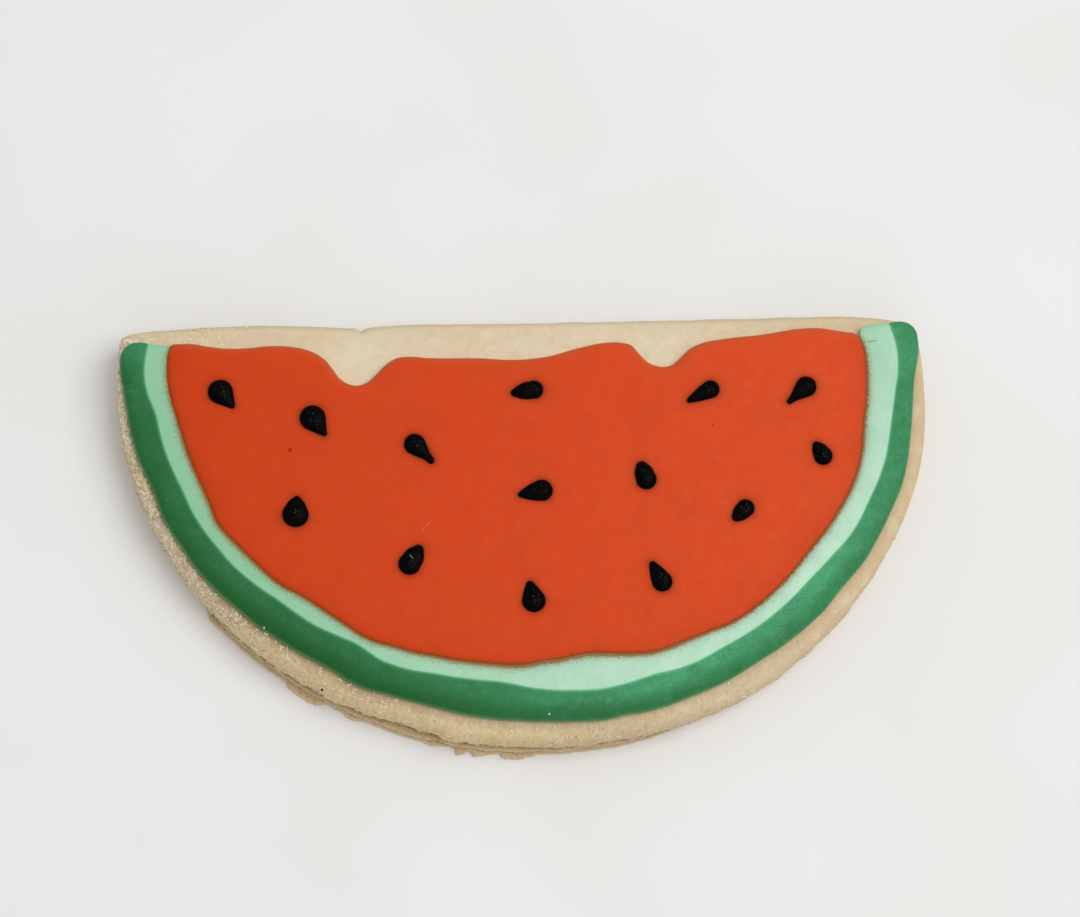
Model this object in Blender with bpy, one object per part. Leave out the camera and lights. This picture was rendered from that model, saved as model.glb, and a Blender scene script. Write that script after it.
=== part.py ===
"""A half-moon sugar biscuit, iced as a slice of melon.

The flat back edge runs along +X and the round edge faces -Y. The biscuit lies on its flat underside, with
the origin under the middle of its outline. Three fields of royal icing lie on it: a dark green line round the
curve, a pale green line inside it, and a red flood with fourteen black piped seeds.

Sizes below are in millimetres, and MM turns them into Blender's metres where a mesh is made. Places along the
round edge are ellipse angles in degrees: 180 is the left end, 270 the front and 360 the right end.
"""

import bmesh
import bpy
import numpy as np

MM = 0.001

# The round edge is an ellipse, moved out a little here and in a little there, as (angle, outset).
HALF_WIDTH = 51.0
HALF_DEPTH = 46.5
CENTRE_Y = 19.4
LEFT_END, RIGHT_END = 172.2, 364.4
EDGE_OUTSET = (
    (172, -0.25), (178, -0.2), (184, -0.15), (192, -0.33), (200, -0.48), (208, -0.58), (216, -0.6),
    (224, -0.5), (232, -0.6), (246, -0.6), (251, -0.4), (257, -0.3), (264, -0.25), (270, -0.3), (276, -0.2),
    (284, -0.05), (294, 0.0), (303, 0.25), (310, 0.1), (317, 0.18), (326, 0.0), (336, 0.12), (346, 0.3),
    (354, 0.15), (361, 0.0), (365, -0.2),
)  # fmt: skip

# The cut back edge, from the right corner to the left one, with a shallow nick left of the middle.
BACK_EDGE = (
    (50.35, 24.1), (49.75, 25.35), (48.6, 26.3), (46.5, 26.95), (43.0, 27.4), (38.0, 27.6), (30.0, 27.55),
    (18.0, 27.3), (-1.0, 27.15), (-14.0, 27.15), (-19.0, 26.95), (-21.7, 26.65), (-23.8, 27.15), (-33.0, 27.35),
    (-39.0, 27.1), (-44.1, 26.8), (-47.5, 26.45), (-49.4, 26.1), (-50.2, 25.7),
)  # fmt: skip

# The biscuit's wall: a soft shoulder above, and at the front left an overhang above a torn lip of thin layers.
BISCUIT_THICKNESS = 6.0
SHOULDER_MOST, SHOULDER_LEAST, SHOULDER_BACK = 2.4, 0.7, 1.3
SHOULDER_DROP = 1.15  # height over width
SHOULDER_CLEAR = 0.1  # the shoulder ends this far outside the icing
SHOULDER_TURNS = (30, 60, 90)
CORNER_FROM, CORNER_RUN = 46.0, 4.0  # past this x the back edge's shoulder narrows over this length
WALL = (  # (height, inset where plain, inset at the lip, parts of overhang, scrap, lower tear, upper tear)
    (0.0, 0.55, 0.3, 0.0, 1.0, 1.0, 0.0),
    (0.22, 0.3, 0.05, 0.0, 1.0, 1.0, 0.0),
    (0.7, 0.14, 0.1, 0.0, 0.9, 1.0, 0.0),
    (0.85, 0.1, 0.1, 0.4, 0.0, 0.0, 1.0),
    (1.3, 0.05, 0.05, 0.4, 0.1, 0.0, 1.0),
    (1.6, 0.03, 0.4, 1.0, 0.0, 0.0, 0.0),
    (2.1, 0.0, 0.0, 1.0, 0.0, 0.0, 0.0),
    (3.2, 0.0, 0.0, 0.8, 0.0, 0.0, 0.0),
)
BELLY = WALL[-1][3]  # the part of the overhang that is left at the foot of the shoulder
OVERHANG = (  # (angle, how far the wall stands in from the lip)
    (172, 0.0), (212, 0.0), (218, 0.35), (232, 0.4), (236, 0.5), (244, 0.65), (250, 0.85), (253, 0.8),
    (257, 0.45), (262, 0.6), (268, 0.6), (274, 0.55), (280, 0.5), (286, 0.35), (292, 0.15), (298, 0.0),
    (365, 0.0),
)  # fmt: skip
LIP_FROM, LIP_TO = 214.0, 290.0
FULL_LIP = 0.4
FLAKES = (  # (angle, reach, half width in degrees) of each scrap that sticks out of the lip
    (218.5, 0.25, 1.2),
    (235.6, 0.8, 2.9),
    (243.1, 0.35, 1.2),
    (255.2, 0.2, 1.5),
    (259.1, 0.75, 0.9),
    (261.7, 0.55, 1.1),
    (266.4, 0.65, 2.0),
    (269.0, 0.3, 0.8),
)
LIP_ROUGHNESS = 0.1
FINE_STEP, COARSE_STEP, BACK_STEP = 0.85, 2.4, 3.2

# The icing rings: (angle, bare margin, width of the dark green line, width of the pale green line).
RINGS = (
    (172, 0.25, 3.3, 2.5), (176, 0.4, 3.2, 2.6), (180, 0.8, 3.2, 2.7), (190, 1.4, 3.45, 2.6),
    (200, 1.85, 3.6, 2.35), (210, 2.1, 3.6, 2.1), (220, 2.75, 3.85, 2.05), (230, 3.3, 3.9, 2.15),
    (238, 3.55, 4.2, 1.45), (246, 3.45, 3.95, 2.3), (256, 3.7, 4.1, 2.35), (262, 3.55, 4.5, 2.2),
    (270, 3.4, 3.8, 3.4), (280, 2.8, 3.65, 4.7), (290, 2.6, 3.8, 3.2), (300, 2.55, 3.7, 2.9),
    (312, 2.4, 3.9, 2.15), (324, 2.3, 3.5, 2.6), (336, 1.9, 3.1, 2.8), (348, 1.9, 2.9, 3.3),
    (358, 1.5, 2.9, 3.5), (364, 1.0, 3.0, 3.75), (369, 1.1, 3.0, 4.2),
)  # fmt: skip
GAP = 0.3
ICING_BASE = BISCUIT_THICKNESS + GAP
RING_CREST, FLOOD_TOP = 7.5, 7.4
RING_STEP = 2.6
END_STEPS = (0.04, 0.25, 0.7, 1.4, 2.4)  # the sections near a line's end, by their distance from it
END_RISE, END_HEIGHT = 2.0, 0.35  # length over which a line rises from its end, and its height part there

# Each line's section from its outer edge to its inner one: (part of the width, part of the height).
DARK_SECTION = (
    (0.04, 0.0), (0.0, 0.2), (0.07, 0.6), (0.22, 0.88), (0.48, 1.0), (0.8, 0.97), (1.0, 0.75), (0.97, 0.0),
)  # fmt: skip
PALE_SECTION = ((0.03, 0.0), (0.0, 0.75), (0.2, 0.93), (0.6, 0.88), (0.9, 0.6), (1.0, 0.25), (0.97, 0.0))
# Each line's rounded ends: (angle where it ends, inset of its tip, outer radius, inner radius), left then right.
DARK_ENDS = ((172.4, 2.4, 2.6, 1.1), (368.9, 2.9, 2.6, 1.0))
PALE_ENDS = ((172.5, 4.8, 0.4, 0.5), (368.9, 6.2, 0.4, 0.6))

# The red flood's wavy top edge, left to right, with the two dips where the biscuit shows.
FLOOD_LEFT, FLOOD_RIGHT = 176.0, 364.6
WAVY_TOP = (
    (-44.35, 24.0), (-43.6, 24.6), (-42.4, 24.7), (-40.5, 24.5), (-37.5, 24.1), (-33.5, 24.2), (-29.8, 24.25),
    (-27.2, 23.7), (-25.2, 22.6), (-23.9, 20.7), (-22.6, 19.5), (-21.0, 19.15), (-19.5, 19.75), (-17.7, 21.7),
    (-15.8, 22.65), (-12.0, 22.5), (-6.0, 22.35), (-1.0, 22.05), (3.0, 22.3), (7.5, 23.5), (11.5, 24.1),
    (13.5, 23.8), (15.0, 22.2), (16.6, 21.1), (18.2, 21.05), (20.0, 22.4), (22.5, 23.8), (27.0, 24.55),
    (33.0, 25.15), (37.0, 25.6), (39.5, 25.35), (41.2, 25.1), (42.2, 24.75), (42.7, 24.0),
)  # fmt: skip
FLOOD_STEP = 1.7
FLOOD_EDGE = ((0.3, 0.0), (0.0, 0.25), (0.15, 0.6), (0.6, 0.85), (1.5, 1.0))  # (inset, part of the height)

# The piped seeds: (bulb x, bulb y, bulb radius, heading of the tip, whole length, tip radius).
SEEDS = (
    (-38.2, 18.2, 1.55, -50, 4.2, 0.3),
    (-26.9, 14.8, 1.5, -58, 4.3, 0.3),
    (-14.7, 11.2, 1.2, -46, 4.5, 0.3),
    (0.5, 17.8, 1.15, -172, 4.1, 0.45),
    (22.9, 17.6, 1.05, -154, 4.4, 0.3),
    (35.2, 17.6, 1.25, -141, 4.4, 0.3),
    (36.6, 8.8, 1.1, 117, 3.35, 0.45),
    (14.1, 6.5, 1.25, 106, 3.5, 0.6),
    (1.1, 5.1, 1.25, -169, 4.45, 0.3),
    (26.3, 2.3, 1.15, -139, 3.5, 0.5),
    (-29.4, 2.7, 1.55, 81, 3.8, 0.3),
    (-15.6, -3.6, 1.4, 55, 4.1, 0.5),
    (-0.6, -8.8, 1.4, 98, 3.95, 0.4),
    (15.5, -6.9, 1.15, 117, 4.0, 0.4),
)
SEED_HEIGHT = 0.85
SEED_ROOT = 0.5
SEED_SIDES = 12
SEED_TAPER = 1.5
SEED_DOME = ((1.0, 0.0), (0.97, 0.35), (0.78, 0.75), (0.35, 1.0))  # (part of the outline, part of the height)

SMOOTHING = 0.2
SHARP_ANGLE = 50


def clear_scene():
    """Removes whatever the file opened with."""
    for item in list(bpy.data.objects):
        bpy.data.objects.remove(item, do_unlink=True)


def linear(hex_colour):
    """Turns an sRGB hex colour into the linear RGBA that a shader takes."""
    srgb = np.array([int(hex_colour[i : i + 2], 16) for i in (1, 3, 5)]) / 255
    rgb = np.where(srgb <= 0.04045, srgb / 12.92, ((srgb + 0.055) / 1.055) ** 2.4)
    return (*rgb, 1.0)


def material(name, hex_colour, roughness):
    """Makes a Principled material with one colour and roughness."""
    made = bpy.data.materials.new(name)
    made.use_nodes = True
    shader = made.node_tree.nodes["Principled BSDF"]
    shader.inputs["Base Color"].default_value = linear(hex_colour)
    shader.inputs["Roughness"].default_value = roughness
    shader.inputs["Metallic"].default_value = 0.0
    return made


def smooth(keys, values, at):
    """Reads a smooth curve through the values at their keys: cubic pieces with slopes from the neighbours."""
    keys = np.asarray(keys, float)
    values = np.asarray(values, float)
    slopes = np.gradient(values, keys, axis=0)
    i = np.clip(np.searchsorted(keys, at, side="right") - 1, 0, len(keys) - 2)
    span = keys[i + 1] - keys[i]
    t = (at - keys[i]) / span
    if values.ndim > 1:
        span, t = span[:, None], t[:, None]
    start = (2 * t**3 - 3 * t**2 + 1) * values[i] + (t**3 - 2 * t**2 + t) * span * slopes[i]
    end = (3 * t**2 - 2 * t**3) * values[i + 1] + (t**3 - t**2) * span * slopes[i + 1]
    return start + end


def table(rows, column, at):
    """Reads one column of a table whose first column is the angle."""
    rows = np.asarray(rows, float)
    return smooth(rows[:, 0], rows[:, column], at)


def curve_through(points, step):
    """Points about a step apart on a smooth curve through the given ones, both ends included."""
    points = np.asarray(points, float)
    along = np.concatenate([[0.0], np.cumsum(np.linalg.norm(np.diff(points, axis=0), axis=1))])
    count = int(np.ceil(along[-1] / step)) + 1
    return smooth(along, points, np.linspace(0, along[-1], count))


def round_edge(angle, inset):
    """The point of the half-moon's ellipse at an angle, moved in by the inset along the ellipse's normal."""
    turn = np.radians(angle)
    outward = np.stack([np.cos(turn) / HALF_WIDTH, np.sin(turn) / HALF_DEPTH], axis=-1)
    outward /= np.linalg.norm(outward, axis=-1, keepdims=True)
    on_ellipse = np.stack([HALF_WIDTH * np.cos(turn), CENTRE_Y + HALF_DEPTH * np.sin(turn)], axis=-1)
    return on_ellipse - outward * np.asarray(inset)[..., None]


def outward_of(ring):
    """Unit normals of a closed anticlockwise ring of points, pointing out."""
    along = np.roll(ring, -1, axis=0) - np.roll(ring, 1, axis=0)
    across = np.stack([along[:, 1], -along[:, 0]], axis=-1)
    return across / np.linalg.norm(across, axis=-1, keepdims=True)


def shrink(ring, distance, steps=8):
    """Moves a closed ring in by a distance, in small steps that are each smoothed, so that corners stay open."""
    for _ in range(steps):
        ring = ring - outward_of(ring) * distance / steps
        between = (np.roll(ring, 1, axis=0) + np.roll(ring, -1, axis=0)) / 2
        ring = ring + SMOOTHING * (between - ring)
    return ring


def mesh_object(name, points, faces, surface):
    """Makes an object from points in millimetres and its faces."""
    mesh = bpy.data.meshes.new(name)
    mesh.from_pydata((np.asarray(points) * MM).tolist(), [], faces)
    build = bmesh.new()
    build.from_mesh(mesh)
    bmesh.ops.recalc_face_normals(build, faces=build.faces)
    build.to_mesh(mesh)
    build.free()
    mesh.materials.append(surface)
    made = bpy.data.objects.new(name, mesh)
    bpy.context.scene.collection.objects.link(made)
    return made


def loft(name, rings, surface):
    """Skins a stack of rings with four-sided faces and closes both ends with a flat cap."""
    rings = np.asarray(rings, float)
    count, size = rings.shape[:2]
    index = np.arange(count * size).reshape(count, size)
    turned = np.roll(index, -1, axis=1)
    quads = np.stack([index[:-1], turned[:-1], turned[1:], index[1:]], axis=-1).reshape(-1, 4)
    faces = quads.tolist() + [index[0][::-1].tolist(), index[-1].tolist()]
    return mesh_object(name, rings.reshape(-1, 3), faces, surface)


def at_height(ring, z):
    """Gives a ring of (x, y) points their height, one number or one for each point."""
    return np.column_stack([ring, np.broadcast_to(z, len(ring))])


def flake_reach(angle):
    """How far the torn scraps stick out at an angle: a sum of steep-sided bumps."""
    reach = np.zeros_like(angle)
    for centre, out, half in FLAKES:
        reach += out * np.exp(-(((angle - centre) / half) ** 4))
    return reach


def biscuit():
    """The baked half-moon: rings of its outline from the underside up the wall and over the shoulder."""
    angle = np.concatenate(
        [
            np.arange(LEFT_END, LIP_FROM, COARSE_STEP),
            np.arange(LIP_FROM, LIP_TO, FINE_STEP),
            np.arange(LIP_TO, RIGHT_END, COARSE_STEP),
        ]
    )
    front = round_edge(angle, -table(EDGE_OUTSET, 1, angle))
    back = curve_through(BACK_EDGE, BACK_STEP)
    outline = np.concatenate([front, back])

    overhang = np.concatenate([np.clip(table(OVERHANG, 1, angle), 0, None), np.zeros(len(back))])
    lip = np.clip(overhang / FULL_LIP, 0, 1)
    flake = np.concatenate([flake_reach(angle), np.zeros(len(back))])
    random = np.random.default_rng(5)
    torn = LIP_ROUGHNESS * lip * random.uniform(-1, 1, (2, len(outline)))
    bare = np.clip(table(RINGS, 1, angle) - SHOULDER_CLEAR, SHOULDER_LEAST, SHOULDER_MOST)
    corner = np.clip((np.abs(back[:, 0]) - CORNER_FROM) / CORNER_RUN, 0, 1)
    shoulder = np.concatenate([bare, SHOULDER_BACK + (SHOULDER_LEAST - SHOULDER_BACK) * corner])

    layers = []
    for height, plain, lipped, stand_in, scrap, lower, upper in WALL:
        inset = plain + (lipped - plain) * lip + stand_in * overhang - scrap * flake
        layers.append((height, inset + lower * torn[0] + upper * torn[1]))
    for turn in np.radians(SHOULDER_TURNS):
        height = BISCUIT_THICKNESS - SHOULDER_DROP * shoulder * (1 - np.sin(turn))
        layers.append((height, BELLY * overhang + shoulder * (1 - np.cos(turn))))
    outward = outward_of(outline)
    rings = [at_height(outline - outward * inset[:, None], height) for height, inset in layers]
    return loft("biscuit", rings, material("baked_dough", "#CDB897", 0.85))


def cap(distance, radius):
    """How much of its full width a line has at a distance from its rounded end."""
    return np.sqrt(1 - (1 - np.clip(distance / radius, 0, 1)) ** 2)


def piped_line(name, outer, inner, ends, section, surface):
    """A line of icing round the curve: its section lofted from one rounded end to the other.

    outer and inner give the line's two insets at an angle.
    """
    (left, left_tip, *left_radii), (right, right_tip, *right_radii) = ends
    step = np.degrees(RING_STEP / HALF_WIDTH)
    run_in = np.degrees(np.array(END_STEPS) / HALF_DEPTH)
    middle = np.linspace(left + 2 * step, right - 2 * step, int((right - left) / step))
    angle = np.concatenate([left + run_in, middle, right - run_in[::-1]])
    near_left = angle < (left + right) / 2
    from_end = np.radians(np.where(near_left, angle - left, right - angle)) * HALF_DEPTH
    tip = np.where(near_left, left_tip, right_tip)
    out_to = tip + (outer(angle) - tip) * cap(from_end, np.where(near_left, left_radii[0], right_radii[0]))
    in_to = tip + (inner(angle) - tip) * cap(from_end, np.where(near_left, left_radii[1], right_radii[1]))
    height = (RING_CREST - ICING_BASE) * (END_HEIGHT + (1 - END_HEIGHT) * cap(from_end, END_RISE))
    across, up = np.asarray(section).T
    rings = []
    for i, at in enumerate(angle):
        inset = out_to[i] + (in_to[i] - out_to[i]) * across
        rings.append(at_height(round_edge(np.full(len(across), at), inset), ICING_BASE + height[i] * up))
    return loft(name, rings, surface)


def dark_inner(angle):
    """Inset of the seam between the dark and the pale line."""
    return table(RINGS, 1, angle) + table(RINGS, 2, angle)


def pale_inner(angle):
    """Inset of the seam between the pale line and the red flood."""
    return dark_inner(angle) + table(RINGS, 3, angle)


def flood_outline():
    """The red flood's closed outline: the inner seam of the rings, then the wavy top from right to left."""
    step = np.degrees(FLOOD_STEP / HALF_DEPTH)
    angle = np.linspace(FLOOD_LEFT, FLOOD_RIGHT, int((FLOOD_RIGHT - FLOOD_LEFT) / step))
    seam = round_edge(angle, pale_inner(angle) + GAP / 2)
    top = curve_through([seam[-1], *WAVY_TOP[::-1], seam[0]], FLOOD_STEP)
    return np.concatenate([seam, top[1:-1]])


def seed(at_x, at_y, radius, heading, length, tip_radius, surface):
    """One piped seed: a low dome over a teardrop, rooted in the flood.

    The teardrop's half width goes from the bulb's radius to the tip's along its length.
    """
    reach = length - radius - tip_radius
    turn = np.arange(SEED_SIDES) * 2 * np.pi / SEED_SIDES
    toward_tip = np.clip(np.cos(turn), 0, 1) ** SEED_TAPER
    size = radius + (tip_radius - radius) * toward_tip
    drop = np.stack([reach * toward_tip + size * np.cos(turn), size * np.sin(turn)], axis=-1)
    angle = np.radians(heading)
    along = np.array([np.cos(angle), np.sin(angle)])
    side = np.array([-along[1], along[0]])
    outline = drop[:, :1] * along + drop[:, 1:] * side
    middle = outline.mean(axis=0)
    levels = [(1.0, FLOOD_TOP - SEED_ROOT)]
    levels += [(part, FLOOD_TOP + up * SEED_HEIGHT) for part, up in SEED_DOME]
    rings = [at_height(middle + (outline - middle) * part + (at_x, at_y), z) for part, z in levels]
    return loft("seed", rings, surface)


def red_flood():
    """The red flood with its domed edge, and the seeds fused to it by one union."""
    outline = flood_outline()
    rings = []
    for inset, up in FLOOD_EDGE:
        ring = shrink(outline, inset) if inset else outline
        rings.append(at_height(ring, ICING_BASE + (FLOOD_TOP - ICING_BASE) * up))
    flood = loft("red_icing", rings, material("red_royal_icing", "#D24A24", 0.5))
    black = material("black_royal_icing", "#130F0B", 0.45)
    seeds = bpy.data.collections.new("seeds")
    bpy.context.scene.collection.children.link(seeds)
    for values in SEEDS:
        grown = seed(*values, black)
        bpy.context.scene.collection.objects.unlink(grown)
        seeds.objects.link(grown)
    flood.data.materials.append(black)
    fuse = flood.modifiers.new("fuse seeds", "BOOLEAN")
    fuse.operation = "UNION"
    fuse.operand_type = "COLLECTION"
    fuse.collection = seeds
    fuse.solver = "EXACT"
    fuse.material_mode = "TRANSFER"
    bpy.context.view_layer.objects.active = flood
    bpy.ops.object.modifier_apply(modifier=fuse.name)
    for grown in list(seeds.objects):
        bpy.data.objects.remove(grown, do_unlink=True)
    bpy.data.collections.remove(seeds)
    return flood


def main():
    """Makes the biscuit and its three fields of icing, and shades them smooth but for their sharp edges."""
    clear_scene()
    biscuit()
    piped_line(
        "dark_green_icing",
        lambda angle: table(RINGS, 1, angle),
        lambda angle: dark_inner(angle) - GAP / 2,
        DARK_ENDS,
        DARK_SECTION,
        material("dark_green_royal_icing", "#34774A", 0.45),
    )
    piped_line(
        "pale_green_icing",
        lambda angle: dark_inner(angle) + GAP / 2,
        lambda angle: pale_inner(angle) - GAP / 2,
        PALE_ENDS,
        PALE_SECTION,
        material("pale_green_royal_icing", "#A5D6B4", 0.45),
    )
    red_flood()
    for item in bpy.context.scene.collection.objects:
        item.data.shade_smooth()
        item.data.set_sharp_from_angle(angle=np.radians(SHARP_ANGLE))


main()
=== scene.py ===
"""A half-moon sugar biscuit, iced as a slice of melon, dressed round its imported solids.

The biscuit lies on its flat underside, with +X along its straight back edge and +Z up. Lengths in this file
are millimetres and become metres in one place, where a mesh is made. Places along the round edge are
ellipse angles in degrees: 180 is the left end, 270 the front and 360 the right end. An inset is a distance
in from the ellipse along its normal. Tables are read by smooth curves, with the key in the first column.
"""

import logging
from dataclasses import dataclass, field
from enum import Enum

import bmesh
import bpy
import numpy as np
from mathutils import Matrix, Vector

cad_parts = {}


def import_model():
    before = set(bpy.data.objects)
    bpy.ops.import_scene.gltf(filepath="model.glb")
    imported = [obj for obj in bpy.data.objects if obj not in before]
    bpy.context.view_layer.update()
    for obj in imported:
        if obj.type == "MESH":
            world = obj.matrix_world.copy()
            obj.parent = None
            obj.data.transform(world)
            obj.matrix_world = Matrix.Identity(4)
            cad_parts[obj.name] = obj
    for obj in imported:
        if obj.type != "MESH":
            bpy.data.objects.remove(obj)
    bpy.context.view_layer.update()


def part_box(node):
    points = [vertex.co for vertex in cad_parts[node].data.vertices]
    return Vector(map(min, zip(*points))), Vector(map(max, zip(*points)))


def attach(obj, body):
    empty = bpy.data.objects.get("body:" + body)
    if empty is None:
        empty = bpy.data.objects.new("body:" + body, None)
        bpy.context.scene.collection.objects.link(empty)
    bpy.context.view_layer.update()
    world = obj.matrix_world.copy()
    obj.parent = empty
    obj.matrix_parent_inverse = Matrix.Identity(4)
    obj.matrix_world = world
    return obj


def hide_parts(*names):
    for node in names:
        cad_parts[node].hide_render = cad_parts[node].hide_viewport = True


Array = np.ndarray
Rows = tuple[tuple[float, ...], ...]
Socket = bpy.types.NodeSocket

MM = 0.001
BODY = "root"
LOG = logging.getLogger("cookie")

# Half the width of the sliver on which rings of points close.
SLIVER = 0.03

# The flood is level this far below the lines' crest, and the tallest seed this far above its solid's top.
FLOOD_DROP, SEED_RISE = 0.1, 0.1

# The round edge is an ellipse. From the left corner to the right one it takes up these angles.
HALF_WIDTH, HALF_DEPTH, CENTRE_Y = 51.0, 46.5, 19.4
LEFT_END, RIGHT_END = 172.2, 364.4

# Inset of the biscuit's widest line, which stands in from the torn lip in front: (angle, inset).
BELLY: Rows = (
    (172, 0.3), (178, 0.25), (184, 0.25), (188, 0.3), (192, 0.45), (200, 0.6), (208, 0.72), (214, 0.8),
    (220, 1.0), (224, 1.03), (230, 1.03), (234, 1.18), (238, 1.22), (240, 1.08), (242.5, 1.36), (246, 1.32),
    (248, 1.47), (251.8, 1.52), (253.3, 1.28), (255, 1.3), (256.5, 0.95), (260, 0.98), (268, 0.98),
    (272, 0.83), (276, 0.73), (280, 0.7), (285, 0.42), (290, 0.22), (296, 0.02), (303, -0.22), (310, -0.1),
    (317, -0.15), (326, 0.0), (336, -0.12), (345, -0.22), (350, -0.15), (354, 0.05), (358, 0.2), (361, 0.3),
    (365, 0.45),
)  # fmt: skip

# Insets of the torn sheets' broken edges, which run straight from corner to corner: (angle, inset).
LOWER_TEAR: Rows = (
    (213, 1.5), (216.4, 0.95), (217.8, 0.42), (219.2, 0.36), (220.4, 0.5), (224, 0.48), (228, 0.52),
    (231.2, 0.6), (232.2, 0.5), (233, 0.15), (234.4, -0.02), (236.6, -0.08), (237.6, 0.0), (238.25, 0.35),
    (238.6, 0.72), (241.5, 0.7), (242.3, 0.38), (243.4, 0.3), (244.3, 0.6), (247, 0.68), (250.7, 0.5),
    (253, 0.52), (254.3, 0.27), (255.4, 0.2), (256.5, 0.5), (258.25, 0.42), (258.4, -0.3), (259.1, -0.28),
    (259.7, -0.02), (259.95, 0.28), (260.6, 0.24), (260.85, -0.22), (261.5, -0.18), (263.7, 0.34),
    (264.55, 0.38), (264.75, -0.08), (265.3, -0.26), (267.8, -0.22), (268.0, 0.06), (269.3, 0.08),
    (269.6, 0.38), (273.5, 0.32), (277, 0.28), (281, 0.16), (286, 0.2), (289, 0.35), (293, 0.9),
)  # fmt: skip
UPPER_TEAR: Rows = (
    (215, 1.9), (218, 1.05), (222, 0.8), (226, 0.82), (231, 0.92), (232.5, 0.86), (238.2, 0.86),
    (239.4, 0.78), (241.3, 0.9), (242.4, 0.8), (244.8, 0.8), (246.2, 0.92), (248.7, 0.78), (250.8, 0.64),
    (254, 0.66), (255.6, 0.9), (257.2, 0.6), (259.2, 0.52), (261, 0.55), (262.4, 0.42), (264, 0.55),
    (265.2, 0.5), (268.6, 0.52), (270, 0.64), (271.1, 0.56), (272.1, 0.4), (274.2, 0.5), (276.4, 0.58),
    (280.2, 0.42), (284, 0.4), (288, 0.5), (292, 0.9),
)  # fmt: skip

# The cut back edge, from the right corner to the left one, with a shallow nick left of the middle.
BACK_EDGE: Rows = (
    (50.15, 24.1), (49.6, 25.3), (48.5, 26.2), (46.4, 26.85), (43.0, 27.3), (38.0, 27.5), (30.0, 27.45),
    (18.0, 27.32), (-1.0, 27.2), (-10.0, 27.25), (-15.5, 27.2), (-17.5, 27.09), (-19.0, 26.97),
    (-19.9, 26.8), (-20.3, 26.62), (-20.5, 26.56), (-20.75, 26.72), (-21.05, 26.88), (-22.0, 26.96),
    (-23.8, 27.12), (-28.0, 27.33), (-33.0, 27.45), (-39.0, 27.25), (-44.1, 26.95), (-47.5, 26.6),
    (-49.5, 26.15), (-50.2, 25.72),
)  # fmt: skip

# Insets of the dark green line's outer edge, of the seam between the greens and of the seam at the red.
DARK_EDGE: Rows = (
    (172, 0.38), (176, 0.46), (178, 0.59), (180, 0.86), (182, 1.08), (184, 1.22), (188, 1.35), (191, 1.52),
    (194, 1.78), (197, 2.05), (199, 2.07), (201.5, 1.9), (204, 1.95), (208, 2.15), (212, 2.15), (216, 2.38),
    (220, 2.72), (224, 2.9), (228, 3.22), (232, 3.4), (236, 3.62), (238, 3.61), (240, 3.37), (242, 3.3),
    (244, 3.35), (246, 3.57), (250, 3.72), (254, 3.79), (258, 3.63), (262, 3.53), (268, 3.43), (272, 3.28),
    (276, 3.03), (279.5, 2.81), (282, 2.93), (285, 2.69), (288, 2.61), (293, 2.64), (298, 2.53),
    (304, 2.58), (308, 2.44), (314, 2.28), (317, 2.22), (321, 2.38), (324, 2.25), (327, 2.02), (331, 2.0),
    (336, 1.93), (342, 1.73), (345, 1.82), (350, 2.0), (354, 2.05), (358, 1.88), (360, 1.62), (362, 1.2),
    (364, 0.82), (366, 0.7), (369, 0.7),
)  # fmt: skip
GREEN_SEAM: Rows = (
    (172, 3.95), (174, 3.75), (176, 3.6), (178.5, 3.59), (180, 3.73), (182, 4.02), (184, 4.48),
    (185.5, 4.73), (188, 4.84), (192, 4.99), (196, 5.23), (199, 5.41), (204, 5.4), (208, 5.56), (211, 5.75),
    (214, 5.85), (218, 6.2), (221, 6.53), (224, 6.89), (228, 7.05), (232, 7.2), (236, 7.58), (239.5, 7.76),
    (241.5, 7.5), (243.5, 7.22), (246, 7.18), (249, 7.32), (252, 7.62), (256, 7.8), (260, 7.95), (262.5, 8),
    (265, 7.85), (268, 7.42), (271, 7.1), (275, 6.78), (279, 6.49), (282, 6.49), (286, 6.63), (288.5, 6.66),
    (291, 6.4), (294, 6.23), (300, 6.31), (306, 6.17), (314, 6.12), (319, 6.14), (322, 5.96), (325, 5.74),
    (328, 5.38), (332, 5.16), (336, 5.11), (340, 4.91), (344, 4.77), (350, 4.83), (354, 4.69), (357, 4.45),
    (360, 4.05), (363, 3.87), (366, 3.95), (369, 4.3),
)  # fmt: skip
RED_SEAM: Rows = (
    (172, 6.55), (173.2, 6.3), (174.5, 6.2), (177, 6.2), (180, 6.32), (182, 6.5), (184, 6.75), (186, 7),
    (189, 7.22), (193, 7.4), (198, 7.62), (202, 7.65), (204.5, 7.5), (207, 7.27), (209, 7.38), (212, 7.7),
    (216, 8.02), (220, 8.23), (223, 8.45), (226, 8.95), (229, 9.2), (233, 9.22), (236, 9.13), (239, 8.92),
    (241, 8.92), (244, 9.18), (248, 9.45), (252, 9.74), (256, 9.87), (260, 10.03), (262.5, 10.08),
    (265, 10.07), (268, 10.28), (270, 10.55), (273, 10.77), (276, 11), (277.7, 11.08), (280, 10.85),
    (283, 10.35), (286, 9.8), (288.5, 9.35), (291, 9.17), (295, 9.07), (298, 8.92), (300, 8.73),
    (302, 8.47), (304, 8.26), (307, 8.16), (312, 8.16), (317, 8.21), (321, 8.33), (324, 8.26), (328, 8.04),
    (332, 7.89), (336, 7.68), (341, 7.63), (344, 7.73), (347, 7.94), (350, 8.11), (354, 8.06), (360, 7.95),
    (363, 7.89), (365, 7.94), (366.5, 8.0), (367.4, 7.95), (368.4, 7.75), (369.2, 7.5),
)  # fmt: skip

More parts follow.
